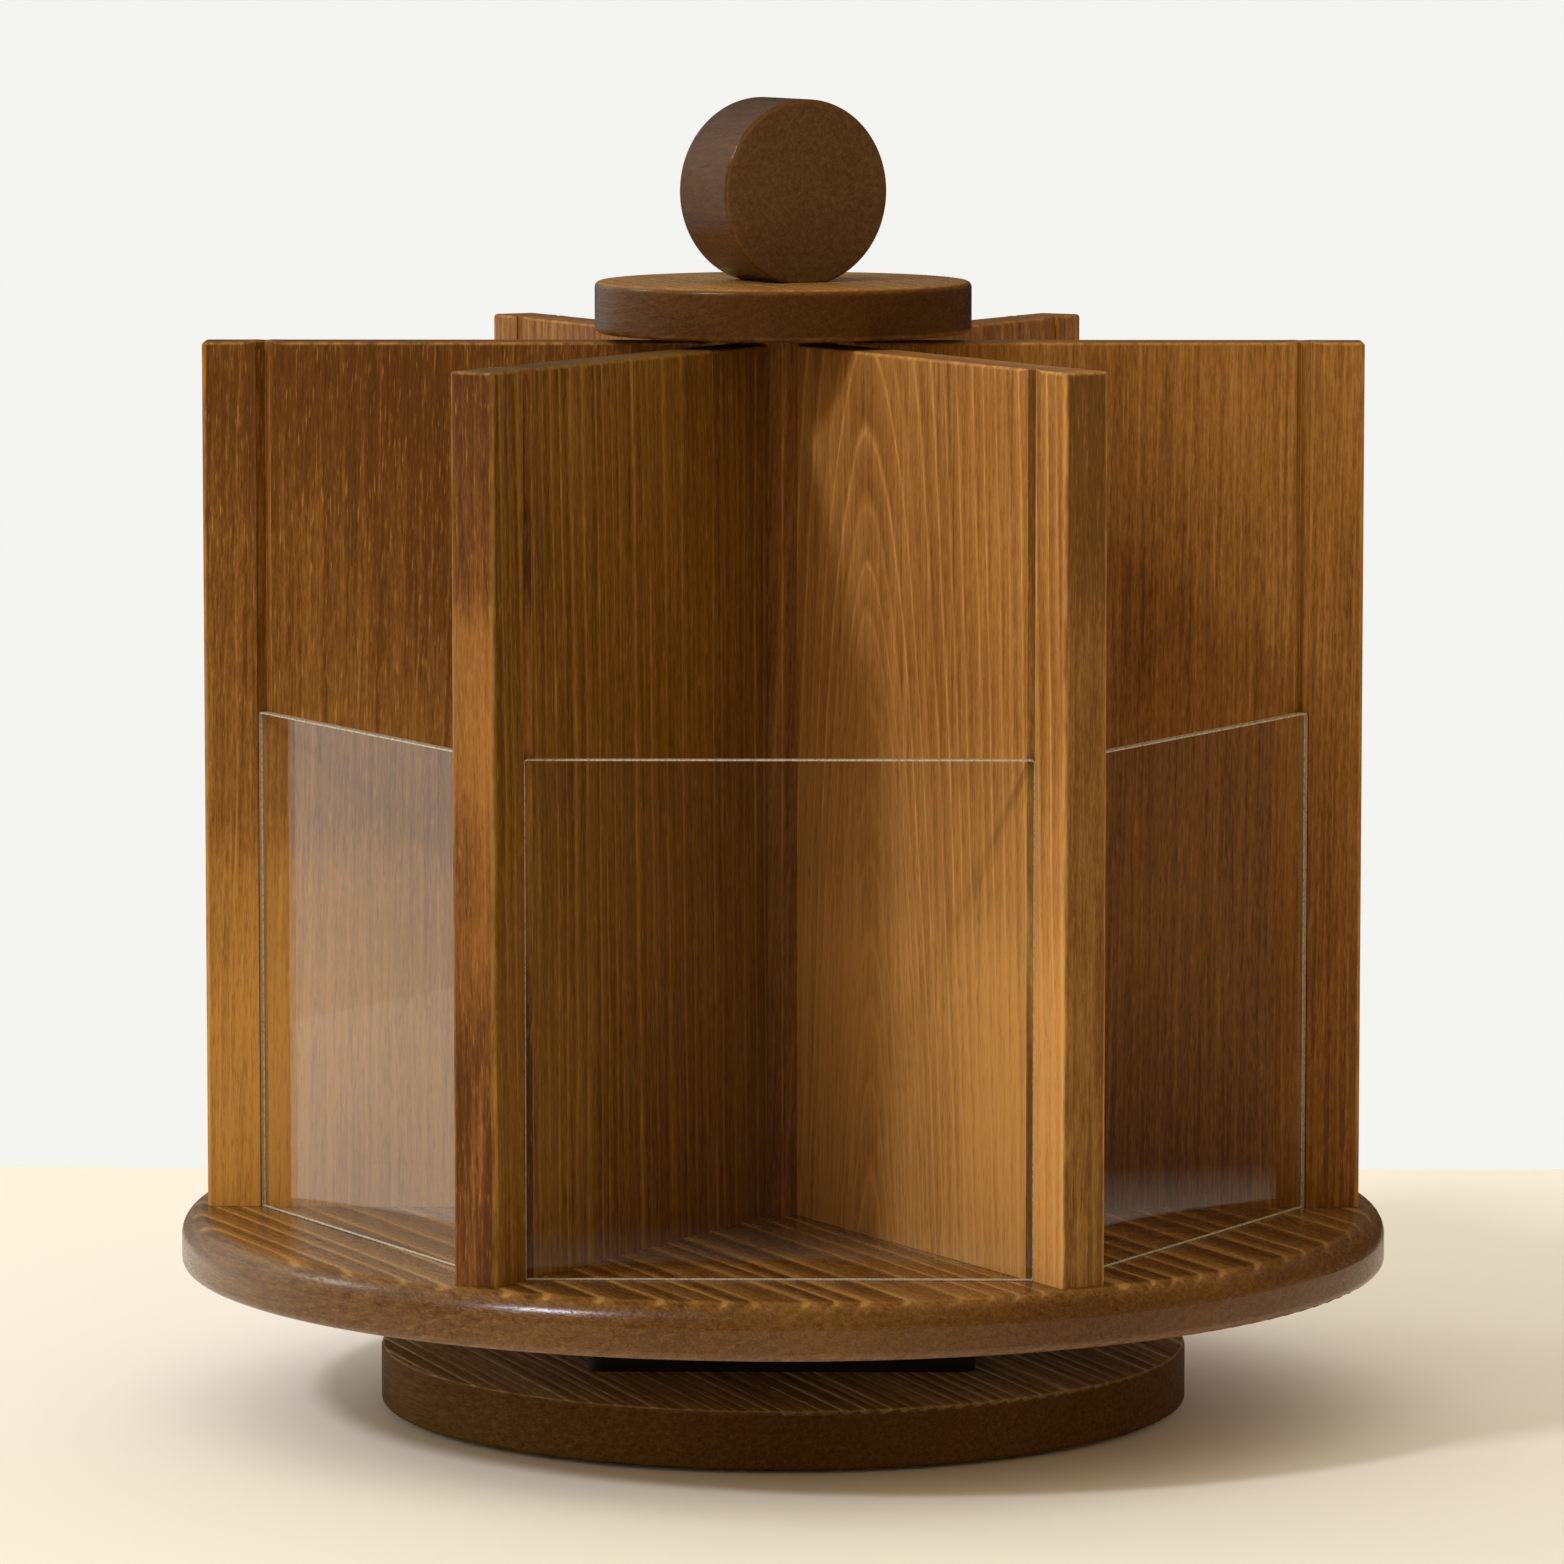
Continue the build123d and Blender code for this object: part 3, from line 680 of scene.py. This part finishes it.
# Each board: its pith along and through the divider in millimetres, its lean in degrees, the tint
# of its outer edge against that of its faces, and the settings of its wood. The edge tint and the
# tones at each height paint light and shade. Each board's tint is partly its own colour and partly
# painted light and shade.
DIVIDER_BOARDS = (
    dict(
        pith=(53, 1), lean=(0, 0), painted_end_tint=(0.9, 1.08, 1.2), ring=5.4, taper=0.32,
        tint=(1.15, 1.18, 1.06), lines=1.1, grain=0.85,
        fades=(((0.0, 0.9), (0.3, 0.98), (0.45, 0.76), (0.64, 0.6), (1.0, 0.55)),
               ((0.0, 0.2), (0.2, 0.24), (0.5, 0.5), (0.65, 0.5), (0.85, 0.28), (1.0, 0.24)))),
    dict(
        pith=(260, 40), lean=(0.4, 0.6), ring=1.7, tint=(0.95, 0.98, 0.76), lines=0.45,
        fades=(((0.0, 0.42), (1.0, 0.52)), LEVEL)),
    dict(pith=(60, -70), lean=(4, 0), ring=5.0, tint=(0.9, 0.9, 0.8), lines=0.8),
    dict(pith=(-90, 60), lean=(-2, 1), ring=4.4, tint=(0.95, 0.95, 0.85), lines=0.7),
    dict(
        pith=(240, -60), lean=(0.5, -1), ring=3.4, tint=(1.0, 1.03, 0.72), lines=0.6, flecks=0.5,
        fades=(((0.0, 0.98), (0.2, 0.95), (0.36, 0.78), (0.47, 0.5), (0.7, 0.36), (1.0, 0.18)),
               ((0.0, 0.5), (1.0, 0.3)))),
    dict(
        pith=(-230, -50), lean=(0.3, 1.0), painted_end_tint=(1.04, 0.82, 0.86), ring=4.5,
        tint=(0.67, 0.77, 0.52), lines=1.2, flecks=0.5,
        fades=(((0.0, 0.5), (1.0, 0.44)),
               ((0.0, 0.1), (0.2, 0.14), (0.42, 0.6), (0.6, 0.9), (0.7, 0.8), (0.78, 0.45), (1.0, 0.38)))),
)


def divider_wood(number, angle, pith, lean, painted_end_tint=(1, 1, 1), **cut):
    """Wood of a divider, its pith and lean turned with the board, and its outer edge tinted apart to paint
    its light and shade.
    """
    pith = turned(np.array((*pith, PITH_HEIGHT)) * MM, angle).tolist()
    turn = (*lean, angle)
    # Painted light and shade: the outer edge gets its own tint
    side = (outwards(angle), painted_end_tint)
    return wood(Wood(f"divider_{number}_wood", pith, turn, seed=number, side=side, **cut))


def make_dividers():
    """Upright boards at sixty degrees round the hub, grooved for the clear panels.

    The inward vectors at the hub face point across the board only, so that face stays flat. The
    round along the upper edges narrows towards each groove. It is smaller than the radius of every
    corner, so the outline doesn't cross itself where it is drawn in.
    """
    sizes = bpy.context.scene.organizer_sizes
    low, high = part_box("divider_2")
    corners, radii = divider_outline(sizes)
    outline, inward, wear = rounded_outline(corners, radii, sizes.round_steps, DIVIDER_GUARD)
    at_hub = outline[:, 0] < low.x + 0.5 * MM
    inward[at_hub] = np.stack((0 * outline[at_hub, 0], -np.sign(outline[at_hub, 1])), -1)
    at_groove = np.repeat(np.isclose(radii, sizes.groove_edge), len(outline) // len(corners))
    outline, added, inward, wear, at_groove = with_extra_points(
        sizes.groove_ease, outline, inward, wear, at_groove)
    top_radius = TOP_SHARE * np.where(at_groove & ~added, sizes.groove_edge, sizes.divider_edge)
    rings, wear = carried(
        outline, inward, wear, low.z, high.z, TIGHT_EDGE, top_radius, sizes.round_steps, DIVIDER_GUARD)
    faces = ring_faces(len(rings), len(outline))
    for number, (angle, board) in enumerate(zip(DIVIDER_ANGLES, DIVIDER_BOARDS), start=1):
        node = f"divider_{number}"
        piece = surface(f"{node}_board", turned(rings, angle), faces, wear)
        settle(piece, "carousel", "divider_wood", divider_wood(number, angle, **board), node)


def make_hub():
    """Six-sided post that the dividers meet, its corners slightly rounded."""
    sizes = bpy.context.scene.organizer_sizes
    low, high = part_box("hub_post")
    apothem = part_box("divider_2")[0].x
    turn = np.radians(DIVIDER_ANGLES) + np.pi / COMPARTMENTS
    corners = apothem / np.cos(np.pi / COMPARTMENTS) * np.stack((np.cos(turn), np.sin(turn)), -1)
    outline = rounded_outline(corners, [sizes.hub_edge] * COMPARTMENTS, sizes.round_steps)
    rings, wear = carried(*outline, low.z, high.z, TIGHT_EDGE, 3 * TIGHT_EDGE, sizes.round_steps)
    piece = surface("hub_post_core", rings, ring_faces(len(rings), len(outline[0])), wear)
    cut = Wood(
        "hub_wood", pith=(0.03, 0.02, 0), turn=(1, 2, 15), ring=4.2, tint=(0.7, 0.68, 0.6), seed=7, lines=0.6)
    settle(piece, "carousel", "hub_wood", wood(cut), "hub_post")


def dress_tray():
    """Finish of the round tray, rubbed paler along both its rims with a painted highlight, and its top
    painted lighter.
    """
    low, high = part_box("tray_disc")
    rims = (
        (high.x - 4.5 * MM, high.z - 0.4 * MM, 1.2 * MM),
        (high.x - 0.6 * MM, low.z + 0.6 * MM, 1.0 * MM),
    )
    cut = Wood(
        "tray_wood", pith=(0.675, 0.33, -1.5), turn=(90, 0.5, 26), ring=3.8, tint=(0.53, 0.55, 0.4),
        seed=8, lines=5.5, wave=0.3, grain=1.1, flecks=0.5, gloss=0.2, shine=1.0, ior=1.34, rims=rims,
        # Painted sheen: faces that look up are tinted lighter
        side=(UP, (1.4, 1.5, 1.9)))
    dress(wood(cut), "tray_disc")


def dress_base():
    """Finish of the round base, rubbed paler along its upper rim with a painted highlight, and its top
    painted much lighter in the tray's shade.
    """
    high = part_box("base_disc")[1]
    rims = ((high.x - 0.3 * MM, high.z - 0.3 * MM, 0.8 * MM),)
    cut = Wood(
        "base_wood", pith=(0.7, 0.27, -1.5), turn=(90, 0.5, 21), ring=1.9, tint=(0.38, 0.46, 0.5),
        seed=9, lines=2.2, wave=0.25, gloss=0.5, shine=0.05, ior=1.25, rims=rims,
        # Painted light: faces that look up, in the tray's shade, are tinted much lighter
        side=(UP, (5.6, 7.8, 14.0)))
    dress(wood(cut), "base_disc")


def make_panels():
    """Clear panels on edge between the dividers, with polished edges and rounded upper corners."""
    sizes = bpy.context.scene.organizer_sizes
    low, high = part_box("clear_panel_6")
    half, polish = high.x, sizes.panel_polish
    corners = ((-half, low.z), (half, low.z), (half, high.z), (-half, high.z))
    radii = (2 * polish, 2 * polish, sizes.panel_corner, sizes.panel_corner)
    outline = rounded_outline(corners, radii, sizes.round_steps, 2 * GUARD)
    rings = carried(*outline, -high.y, -low.y, polish, polish, sizes.round_steps // 2)[0]
    faces = ring_faces(len(rings), len(outline[0]))
    edge_slots = np.ones(len(faces), np.int32)
    edge_slots[-2:] = 0
    clear, edge = acrylic_material(), edge_material()
    for number, angle in enumerate(DIVIDER_ANGLES, start=1):
        node = f"clear_panel_{number}"
        points = rings @ side_axes(angle + 180 / COMPARTMENTS)
        piece = surface(f"{node}_sheet", points, faces)
        settle(piece, node, "clear_acrylic", clear, node)
        piece.data.materials.append(edge)
        piece.data.polygons.foreach_set("material_index", edge_slots)


def make_cap():
    """Cap disc on top of the hub, its rims quarter rounds."""
    sizes = bpy.context.scene.organizer_sizes
    low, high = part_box("cap_disc")
    edge = sizes.cap_edge
    rings, wear = carried(*circle(high.x, CAP_SIDES), low.z, high.z, edge, edge, sizes.round_steps, 2 * GUARD)
    piece = surface("cap_disc_board", rings, ring_faces(len(rings), CAP_SIDES), wear)
    cut = Wood(
        "cap_wood", pith=(0.5, 0.2, -1.0), turn=(90, 1, 20), ring=1.8, tint=(0.31, 0.3, 0.22), seed=10,
        lines=0.7, wave=0.4, grain=0.8, wear=0.8, gloss=0.25, shine=0.65, ior=1.25,
        # Painted sheen: faces that look up are tinted lighter
        side=(UP, (4.8, 5.8, 8.0)))
    settle(piece, "carousel", "cap_wood", wood(cut), "cap_disc")


def make_knob():
    """Round knob on edge: a disc whose points below the cap's top are raised to it."""
    sizes = bpy.context.scene.organizer_sizes
    low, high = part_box("knob")
    radius = (high.z - low.z + sizes.knob_flat) / 2
    outline, inward, wear = circle(radius, KNOB_SIDES)
    outline = outline + (0, high.z - radius)
    half, edge = sizes.knob_thickness / 2, sizes.knob_edge
    rings, wear = carried(outline, inward, wear, -half, half, edge, edge, sizes.round_steps, 2 * GUARD)
    points = rings @ side_axes(KNOB_ANGLE)
    points[..., 2] = np.maximum(points[..., 2], low.z)
    piece = surface("knob_turning", points, ring_faces(len(rings), KNOB_SIDES), wear)
    cut = Wood(
        "knob_wood", pith=(0.02, -0.035, 0.25), turn=(90, 1, 45), ring=2.6, tint=(0.24, 0.21, 0.13),
        seed=11, lines=0.3, grain=0.8, flecks=0.1, wear=0.9, gloss=0.2, shine=0.6, ior=1.25,
        # Painted light: the faces that look outwards are tinted lighter and bluer than the rim
        side=(outwards(KNOB_ANGLE), (2.35, 3.5, 9.8)))
    settle(piece, "carousel", "knob_wood", wood(cut), "knob")


def make_feet():
    """Rubber feet on a circle under the rim of the base, their lower edges rounded."""
    sizes = bpy.context.scene.organizer_sizes
    low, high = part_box("foot_pads")
    radius = sizes.foot_diameter / 2
    rings = carried(
        *circle(radius, FOOT_SIDES), low.z, high.z, sizes.foot_edge, TIGHT_EDGE, sizes.round_steps)[0]
    places = (high.x - radius) * np.array(((1, 1, 0), (-1, 1, 0), (-1, -1, 0), (1, -1, 0)))
    points = rings[None] + places[:, None, None]
    count = rings.shape[0] * rings.shape[1]
    faces = [
        [corner + count * copy for corner in face]
        for copy in range(len(places)) for face in ring_faces(len(rings), FOOT_SIDES)
    ]
    finish = bpy.context.scene.organizer_finish
    piece = surface("foot_pads_rubber", points, faces)
    material = plain_material("foot_rubber", finish.foot_rubber, rough=0.7, grain=(900, 900, 900), relief=0.2)
    settle(piece, "base", "foot_rubber", material, "foot_pads")


def dress_bearing():
    """Finishes of the ball turntable and of the dark block under it."""
    finish = bpy.context.scene.organizer_finish
    stained = plain_material(
        "spacer_paint", finish.spacer_stain, rough=0.5, grain=(700, 60, 700), relief=0.25)
    black = plain_material(
        "plate_steel", finish.plate_black, rough=0.42, grain=(1500, 1500, 1500), relief=0.15)
    polished = plain_material("ball_steel", finish.ball_steel, rough=0.12, metallic=1.0, variation=0.03)
    nylon = plain_material("cage_plastic", finish.cage_nylon, rough=0.45, relief=0.1, variation=0.04)
    dress(stained, "base_spacer")
    dress(black, "bearing_lower_plate", "bearing_upper_plate", "bearing_eyelet")
    dress(polished, "bearing_balls")
    dress(nylon, "ball_cage")


def dress_fasteners():
    """Finishes of the screws, the stud and the dowels."""
    finish = bpy.context.scene.organizer_finish
    zinc = plain_material("screw_steel", finish.screw_zinc, rough=0.35, metallic=1.0, grain=(900, 900, 900))
    beech = plain_material("dowel_wood", finish.dowel_beech, rough=0.6, grain=(500, 500, 500))
    dress(
        zinc, "spacer_screws", "lower_plate_screws", "upper_plate_screws", "hub_floor_screw", "knob_stud",
        "divider_floor_screws")
    dress(beech, "cap_dowels", "divider_dowels")


# Stage

# Window that glossy surfaces see: its direction, its narrowness, the level beside it and its tint
WINDOW_WAY = (-0.85, 0.47, 0.25)
WINDOW_FOCUS = 4.0
ROOM_LEVEL = 0.02
WINDOW_TINT = (1, 0.96, 0.88)
# Camera fitted to the object's edges in the photograph, and the ends of the table
CAMERA_LENS = 194.95
CAMERA_PLACE = (0.01616, -2.0937, 0.3875)
CAMERA_TURN = (83.681, 0, 0.45)
TABLE_REACH = 4.0
# Distances over which the table fades away, seen directly and in reflections
DIRECT_FADE = (0.55, 1.2)
GLOSSY_FADE = (0.22, 0.5)
# Lamps: name, setting of its power, size, colour and direction from the middle of the object
LAMP_DISTANCE = 4.0
LAMP_TARGET = (0, 0, 0.15)
LAMPS = (
    ("key_light", "key_power", 0.46, (0.98, 1.02, 1.2), (-0.61, -0.47, 0.64)),
    ("window_light", "window_power", 0.8, (0.96, 0.98, 1.0), (-0.78, 0.28, 0.56)),
)


def seen_directly(tree, path):
    """One for a ray from the camera, through clear panels or not, that nothing has reflected yet."""
    ray = maths(tree, "MAXIMUM", path.outputs["Is Camera Ray"], path.outputs["Is Transmission Ray"])
    bounces = maths(tree, "ADD", path.outputs["Diffuse Depth"], path.outputs["Glossy Depth"])
    return maths(tree, "MULTIPLY", ray, maths(tree, "LESS_THAN", bounces, 0.5))


def side_light(tree, way, sides):
    """Sum of each side's colour times how far the direction points to that side."""
    total = (0, 0, 0)
    for axis, sign, level in sides:
        share = maths(tree, "MAXIMUM", maths(tree, "MULTIPLY", part_of(tree, way, axis), sign), 0.0)
        inputs = {0: share, 1: tuple(level), 2: total}
        total = add(tree, "ShaderNodeVectorMath", inputs, operation="MULTIPLY_ADD").outputs[0]
    return total


def reflected_room(tree, way, stage):
    """What a glossy surface sees: a dim room that grows brighter towards a window at the rear left.

    The light grows with a power of how far the direction points to the window.
    """
    towards = maths(tree, "MAXIMUM", vector_maths(tree, "DOT_PRODUCT", way, WINDOW_WAY, output="Value"), 0.0)
    level = maths(tree, "ADD", maths(tree, "POWER", towards, WINDOW_FOCUS), ROOM_LEVEL)
    return vector_maths(tree, "MULTIPLY", tinted(stage.backdrop, WINDOW_TINT), level)


def table_material(stage):
    """Cream table top that fades into the background, and into the room's reflection, far from the object."""
    material, tree, shader = new_material("table_top")
    set_inputs(tree, shader, {"Base Color": (*stage.floor, 1), "Roughness": 0.75, "Specular IOR Level": 0.2})
    place = add(tree, "ShaderNodeTexCoord").outputs["Object"]
    away = vector_maths(tree, "LENGTH", place, output="Value")
    path = add(tree, "ShaderNodeLightPath")
    seen = seen_directly(tree, path)
    share = maths(tree, "MULTIPLY", remap(tree, away, *DIRECT_FADE, 0, 1), seen)
    in_gloss = remap(tree, away, *GLOSSY_FADE, 0, 1)
    share = maths(tree, "MULTIPLY_ADD", in_gloss, path.outputs["Is Glossy Ray"], share, clamp=True)
    reflected = reflected_room(tree, vector_maths(tree, "NORMALIZE", place), stage)
    shown = mixed(tree, seen, reflected, tuple(stage.backdrop))
    far = add(tree, "ShaderNodeEmission", {"Color": shown, "Strength": 1.0})
    show(tree, add(tree, "ShaderNodeMixShader", {0: share, 1: shader.outputs[0], 2: far.outputs[0]}))
    return material


def world_light(stage):
    """Off-white background, soft light that is strongest from the left, and a darker room in reflections."""
    world = bpy.data.worlds.new("studio")
    bpy.context.scene.world = world
    world.use_nodes = True
    tree = world.node_tree
    tree.nodes.clear()
    path = add(tree, "ShaderNodeLightPath")
    way = add(tree, "ShaderNodeTexCoord").outputs["Generated"]
    room = side_light(tree, way, (
        ("X", -1, stage.room_left), ("X", 1, stage.room_right), ("Y", 1, stage.room_back),
        ("Y", -1, stage.room_front), ("Z", 1, stage.room_above)))
    shown = mixed(tree, path.outputs["Is Glossy Ray"], room, reflected_room(tree, way, stage))
    shown = mixed(tree, seen_directly(tree, path), shown, tuple(stage.backdrop))
    background = add(tree, "ShaderNodeBackground", {"Color": shown, "Strength": 1.0})
    add(tree, "ShaderNodeOutputWorld", {"Surface": background.outputs[0]})


def make_lamps(stage):
    """Small soft lamp at the front left, which draws the shadow's edge, and a wider one at the rear left."""
    for name, power, width, tone, way in LAMPS:
        lamp = bpy.data.lights.new(name, "AREA")
        lamp.shape = "SQUARE"
        lamp.size = width
        lamp.energy = getattr(stage, power)
        lamp.color = tone
        item = bpy.data.objects.new(name, lamp)
        item.location = LAMP_DISTANCE * Vector(way) + Vector(LAMP_TARGET)
        item.rotation_euler = Vector(way).to_track_quat("Z", "Y").to_euler()
        bpy.context.scene.collection.objects.link(item)


def make_camera():
    """Camera at the photograph's place."""
    camera = bpy.data.cameras.new("main_camera")
    camera.sensor_width = 36
    camera.lens = CAMERA_LENS
    item = bpy.data.objects.new("main_camera", camera)
    item.location = CAMERA_PLACE
    item.rotation_euler = [radians(angle) for angle in CAMERA_TURN]
    bpy.context.scene.collection.objects.link(item)
    bpy.context.scene.camera = item


def make_stage():
    """Cream table with a straight rear edge, off-white background, lamps and camera."""
    stage = bpy.context.scene.organizer_stage
    far, edge = TABLE_REACH, stage.table_edge
    points = ((-far, -far, 0), (far, -far, 0), (far, edge, 0), (-far, edge, 0))
    table = surface("table", points, [(0, 1, 2, 3)])
    table.data.materials.append(table_material(stage))
    world_light(stage)
    make_lamps(stage)
    make_camera()


# Operators

class Undoable:
    """Options that every operator here shares."""

    bl_options = {"REGISTER", "UNDO"}


class ORGANIZER_OT_stage(Undoable, Operator):
    """Make the table, the background, the lamps and the camera"""

    bl_idname = "organizer.stage"
    bl_label = "Stage"

    def execute(self, context):
        make_stage()
        return {"FINISHED"}


class ORGANIZER_OT_base(Undoable, Operator):
    """Finish the round base"""

    bl_idname = "organizer.base"
    bl_label = "Base"

    def execute(self, context):
        dress_base()
        return {"FINISHED"}


class ORGANIZER_OT_feet(Undoable, Operator):
    """Make the rubber feet"""

    bl_idname = "organizer.feet"
    bl_label = "Feet"

    def execute(self, context):
        make_feet()
        return {"FINISHED"}


class ORGANIZER_OT_bearing(Undoable, Operator):
    """Finish the ball turntable and its block"""

    bl_idname = "organizer.bearing"
    bl_label = "Bearing"

    def execute(self, context):
        dress_bearing()
        return {"FINISHED"}


class ORGANIZER_OT_tray(Undoable, Operator):
    """Finish the round tray"""

    bl_idname = "organizer.tray"
    bl_label = "Tray"

    def execute(self, context):
        dress_tray()
        return {"FINISHED"}


class ORGANIZER_OT_hub(Undoable, Operator):
    """Make the hub post"""

    bl_idname = "organizer.hub"
    bl_label = "Hub"

    def execute(self, context):
        make_hub()
        return {"FINISHED"}


class ORGANIZER_OT_dividers(Undoable, Operator):
    """Make the six grooved dividers"""

    bl_idname = "organizer.dividers"
    bl_label = "Dividers"

    def execute(self, context):
        make_dividers()
        return {"FINISHED"}


class ORGANIZER_OT_panels(Undoable, Operator):
    """Make the clear panels"""

    bl_idname = "organizer.panels"
    bl_label = "Clear panels"

    def execute(self, context):
        make_panels()
        return {"FINISHED"}


class ORGANIZER_OT_cap(Undoable, Operator):
    """Make the cap disc"""

    bl_idname = "organizer.cap"
    bl_label = "Cap disc"

    def execute(self, context):
        make_cap()
        return {"FINISHED"}


class ORGANIZER_OT_knob(Undoable, Operator):
    """Make the knob"""

    bl_idname = "organizer.knob"
    bl_label = "Knob"

    def execute(self, context):
        make_knob()
        return {"FINISHED"}


class ORGANIZER_OT_fasteners(Undoable, Operator):
    """Finish the screws, the stud and the dowels"""

    bl_idname = "organizer.fasteners"
    bl_label = "Fasteners"

    def execute(self, context):
        dress_fasteners()
        return {"FINISHED"}


OPERATORS = (
    ORGANIZER_OT_stage, ORGANIZER_OT_base, ORGANIZER_OT_feet, ORGANIZER_OT_bearing, ORGANIZER_OT_tray,
    ORGANIZER_OT_hub, ORGANIZER_OT_dividers, ORGANIZER_OT_panels, ORGANIZER_OT_cap, ORGANIZER_OT_knob,
    ORGANIZER_OT_fasteners,
)
SETTINGS = (
    ("organizer_sizes", OrganizerSizes),
    ("organizer_finish", OrganizerFinish),
    ("organizer_stage", OrganizerStage),
)


class ORGANIZER_PT_panel(Panel):
    """Sizes, colours and pieces of the organizer"""

    bl_label = "Organizer"
    bl_space_type = "VIEW_3D"
    bl_region_type = "UI"
    bl_category = "Organizer"

    def draw(self, context):
        for operator in OPERATORS:
            self.layout.operator(operator.bl_idname)
        for name, group in SETTINGS:
            box = self.layout.box()
            for field in group.__annotations__:
                box.prop(getattr(context.scene, name), field)


def register():
    """Registers the settings, the operators and the panel."""
    for name, group in SETTINGS:
        bpy.utils.register_class(group)
        setattr(bpy.types.Scene, name, PointerProperty(type=group))
    for item in (*OPERATORS, ORGANIZER_PT_panel):
        bpy.utils.register_class(item)


def unregister():
    """Takes the panel, the operators and the settings away again."""
    for item in (ORGANIZER_PT_panel, *reversed(OPERATORS)):
        bpy.utils.unregister_class(item)
    for name, group in reversed(SETTINGS):
        delattr(bpy.types.Scene, name)
        bpy.utils.unregister_class(group)


def main():
    """Makes every piece in order."""
    register()
    bpy.context.scene.view_settings.view_transform = "Standard"
    for operator in OPERATORS:
        group, name = operator.bl_idname.split(".")
        getattr(getattr(bpy.ops, group), name)()


if __name__ == "__main__":
    main()
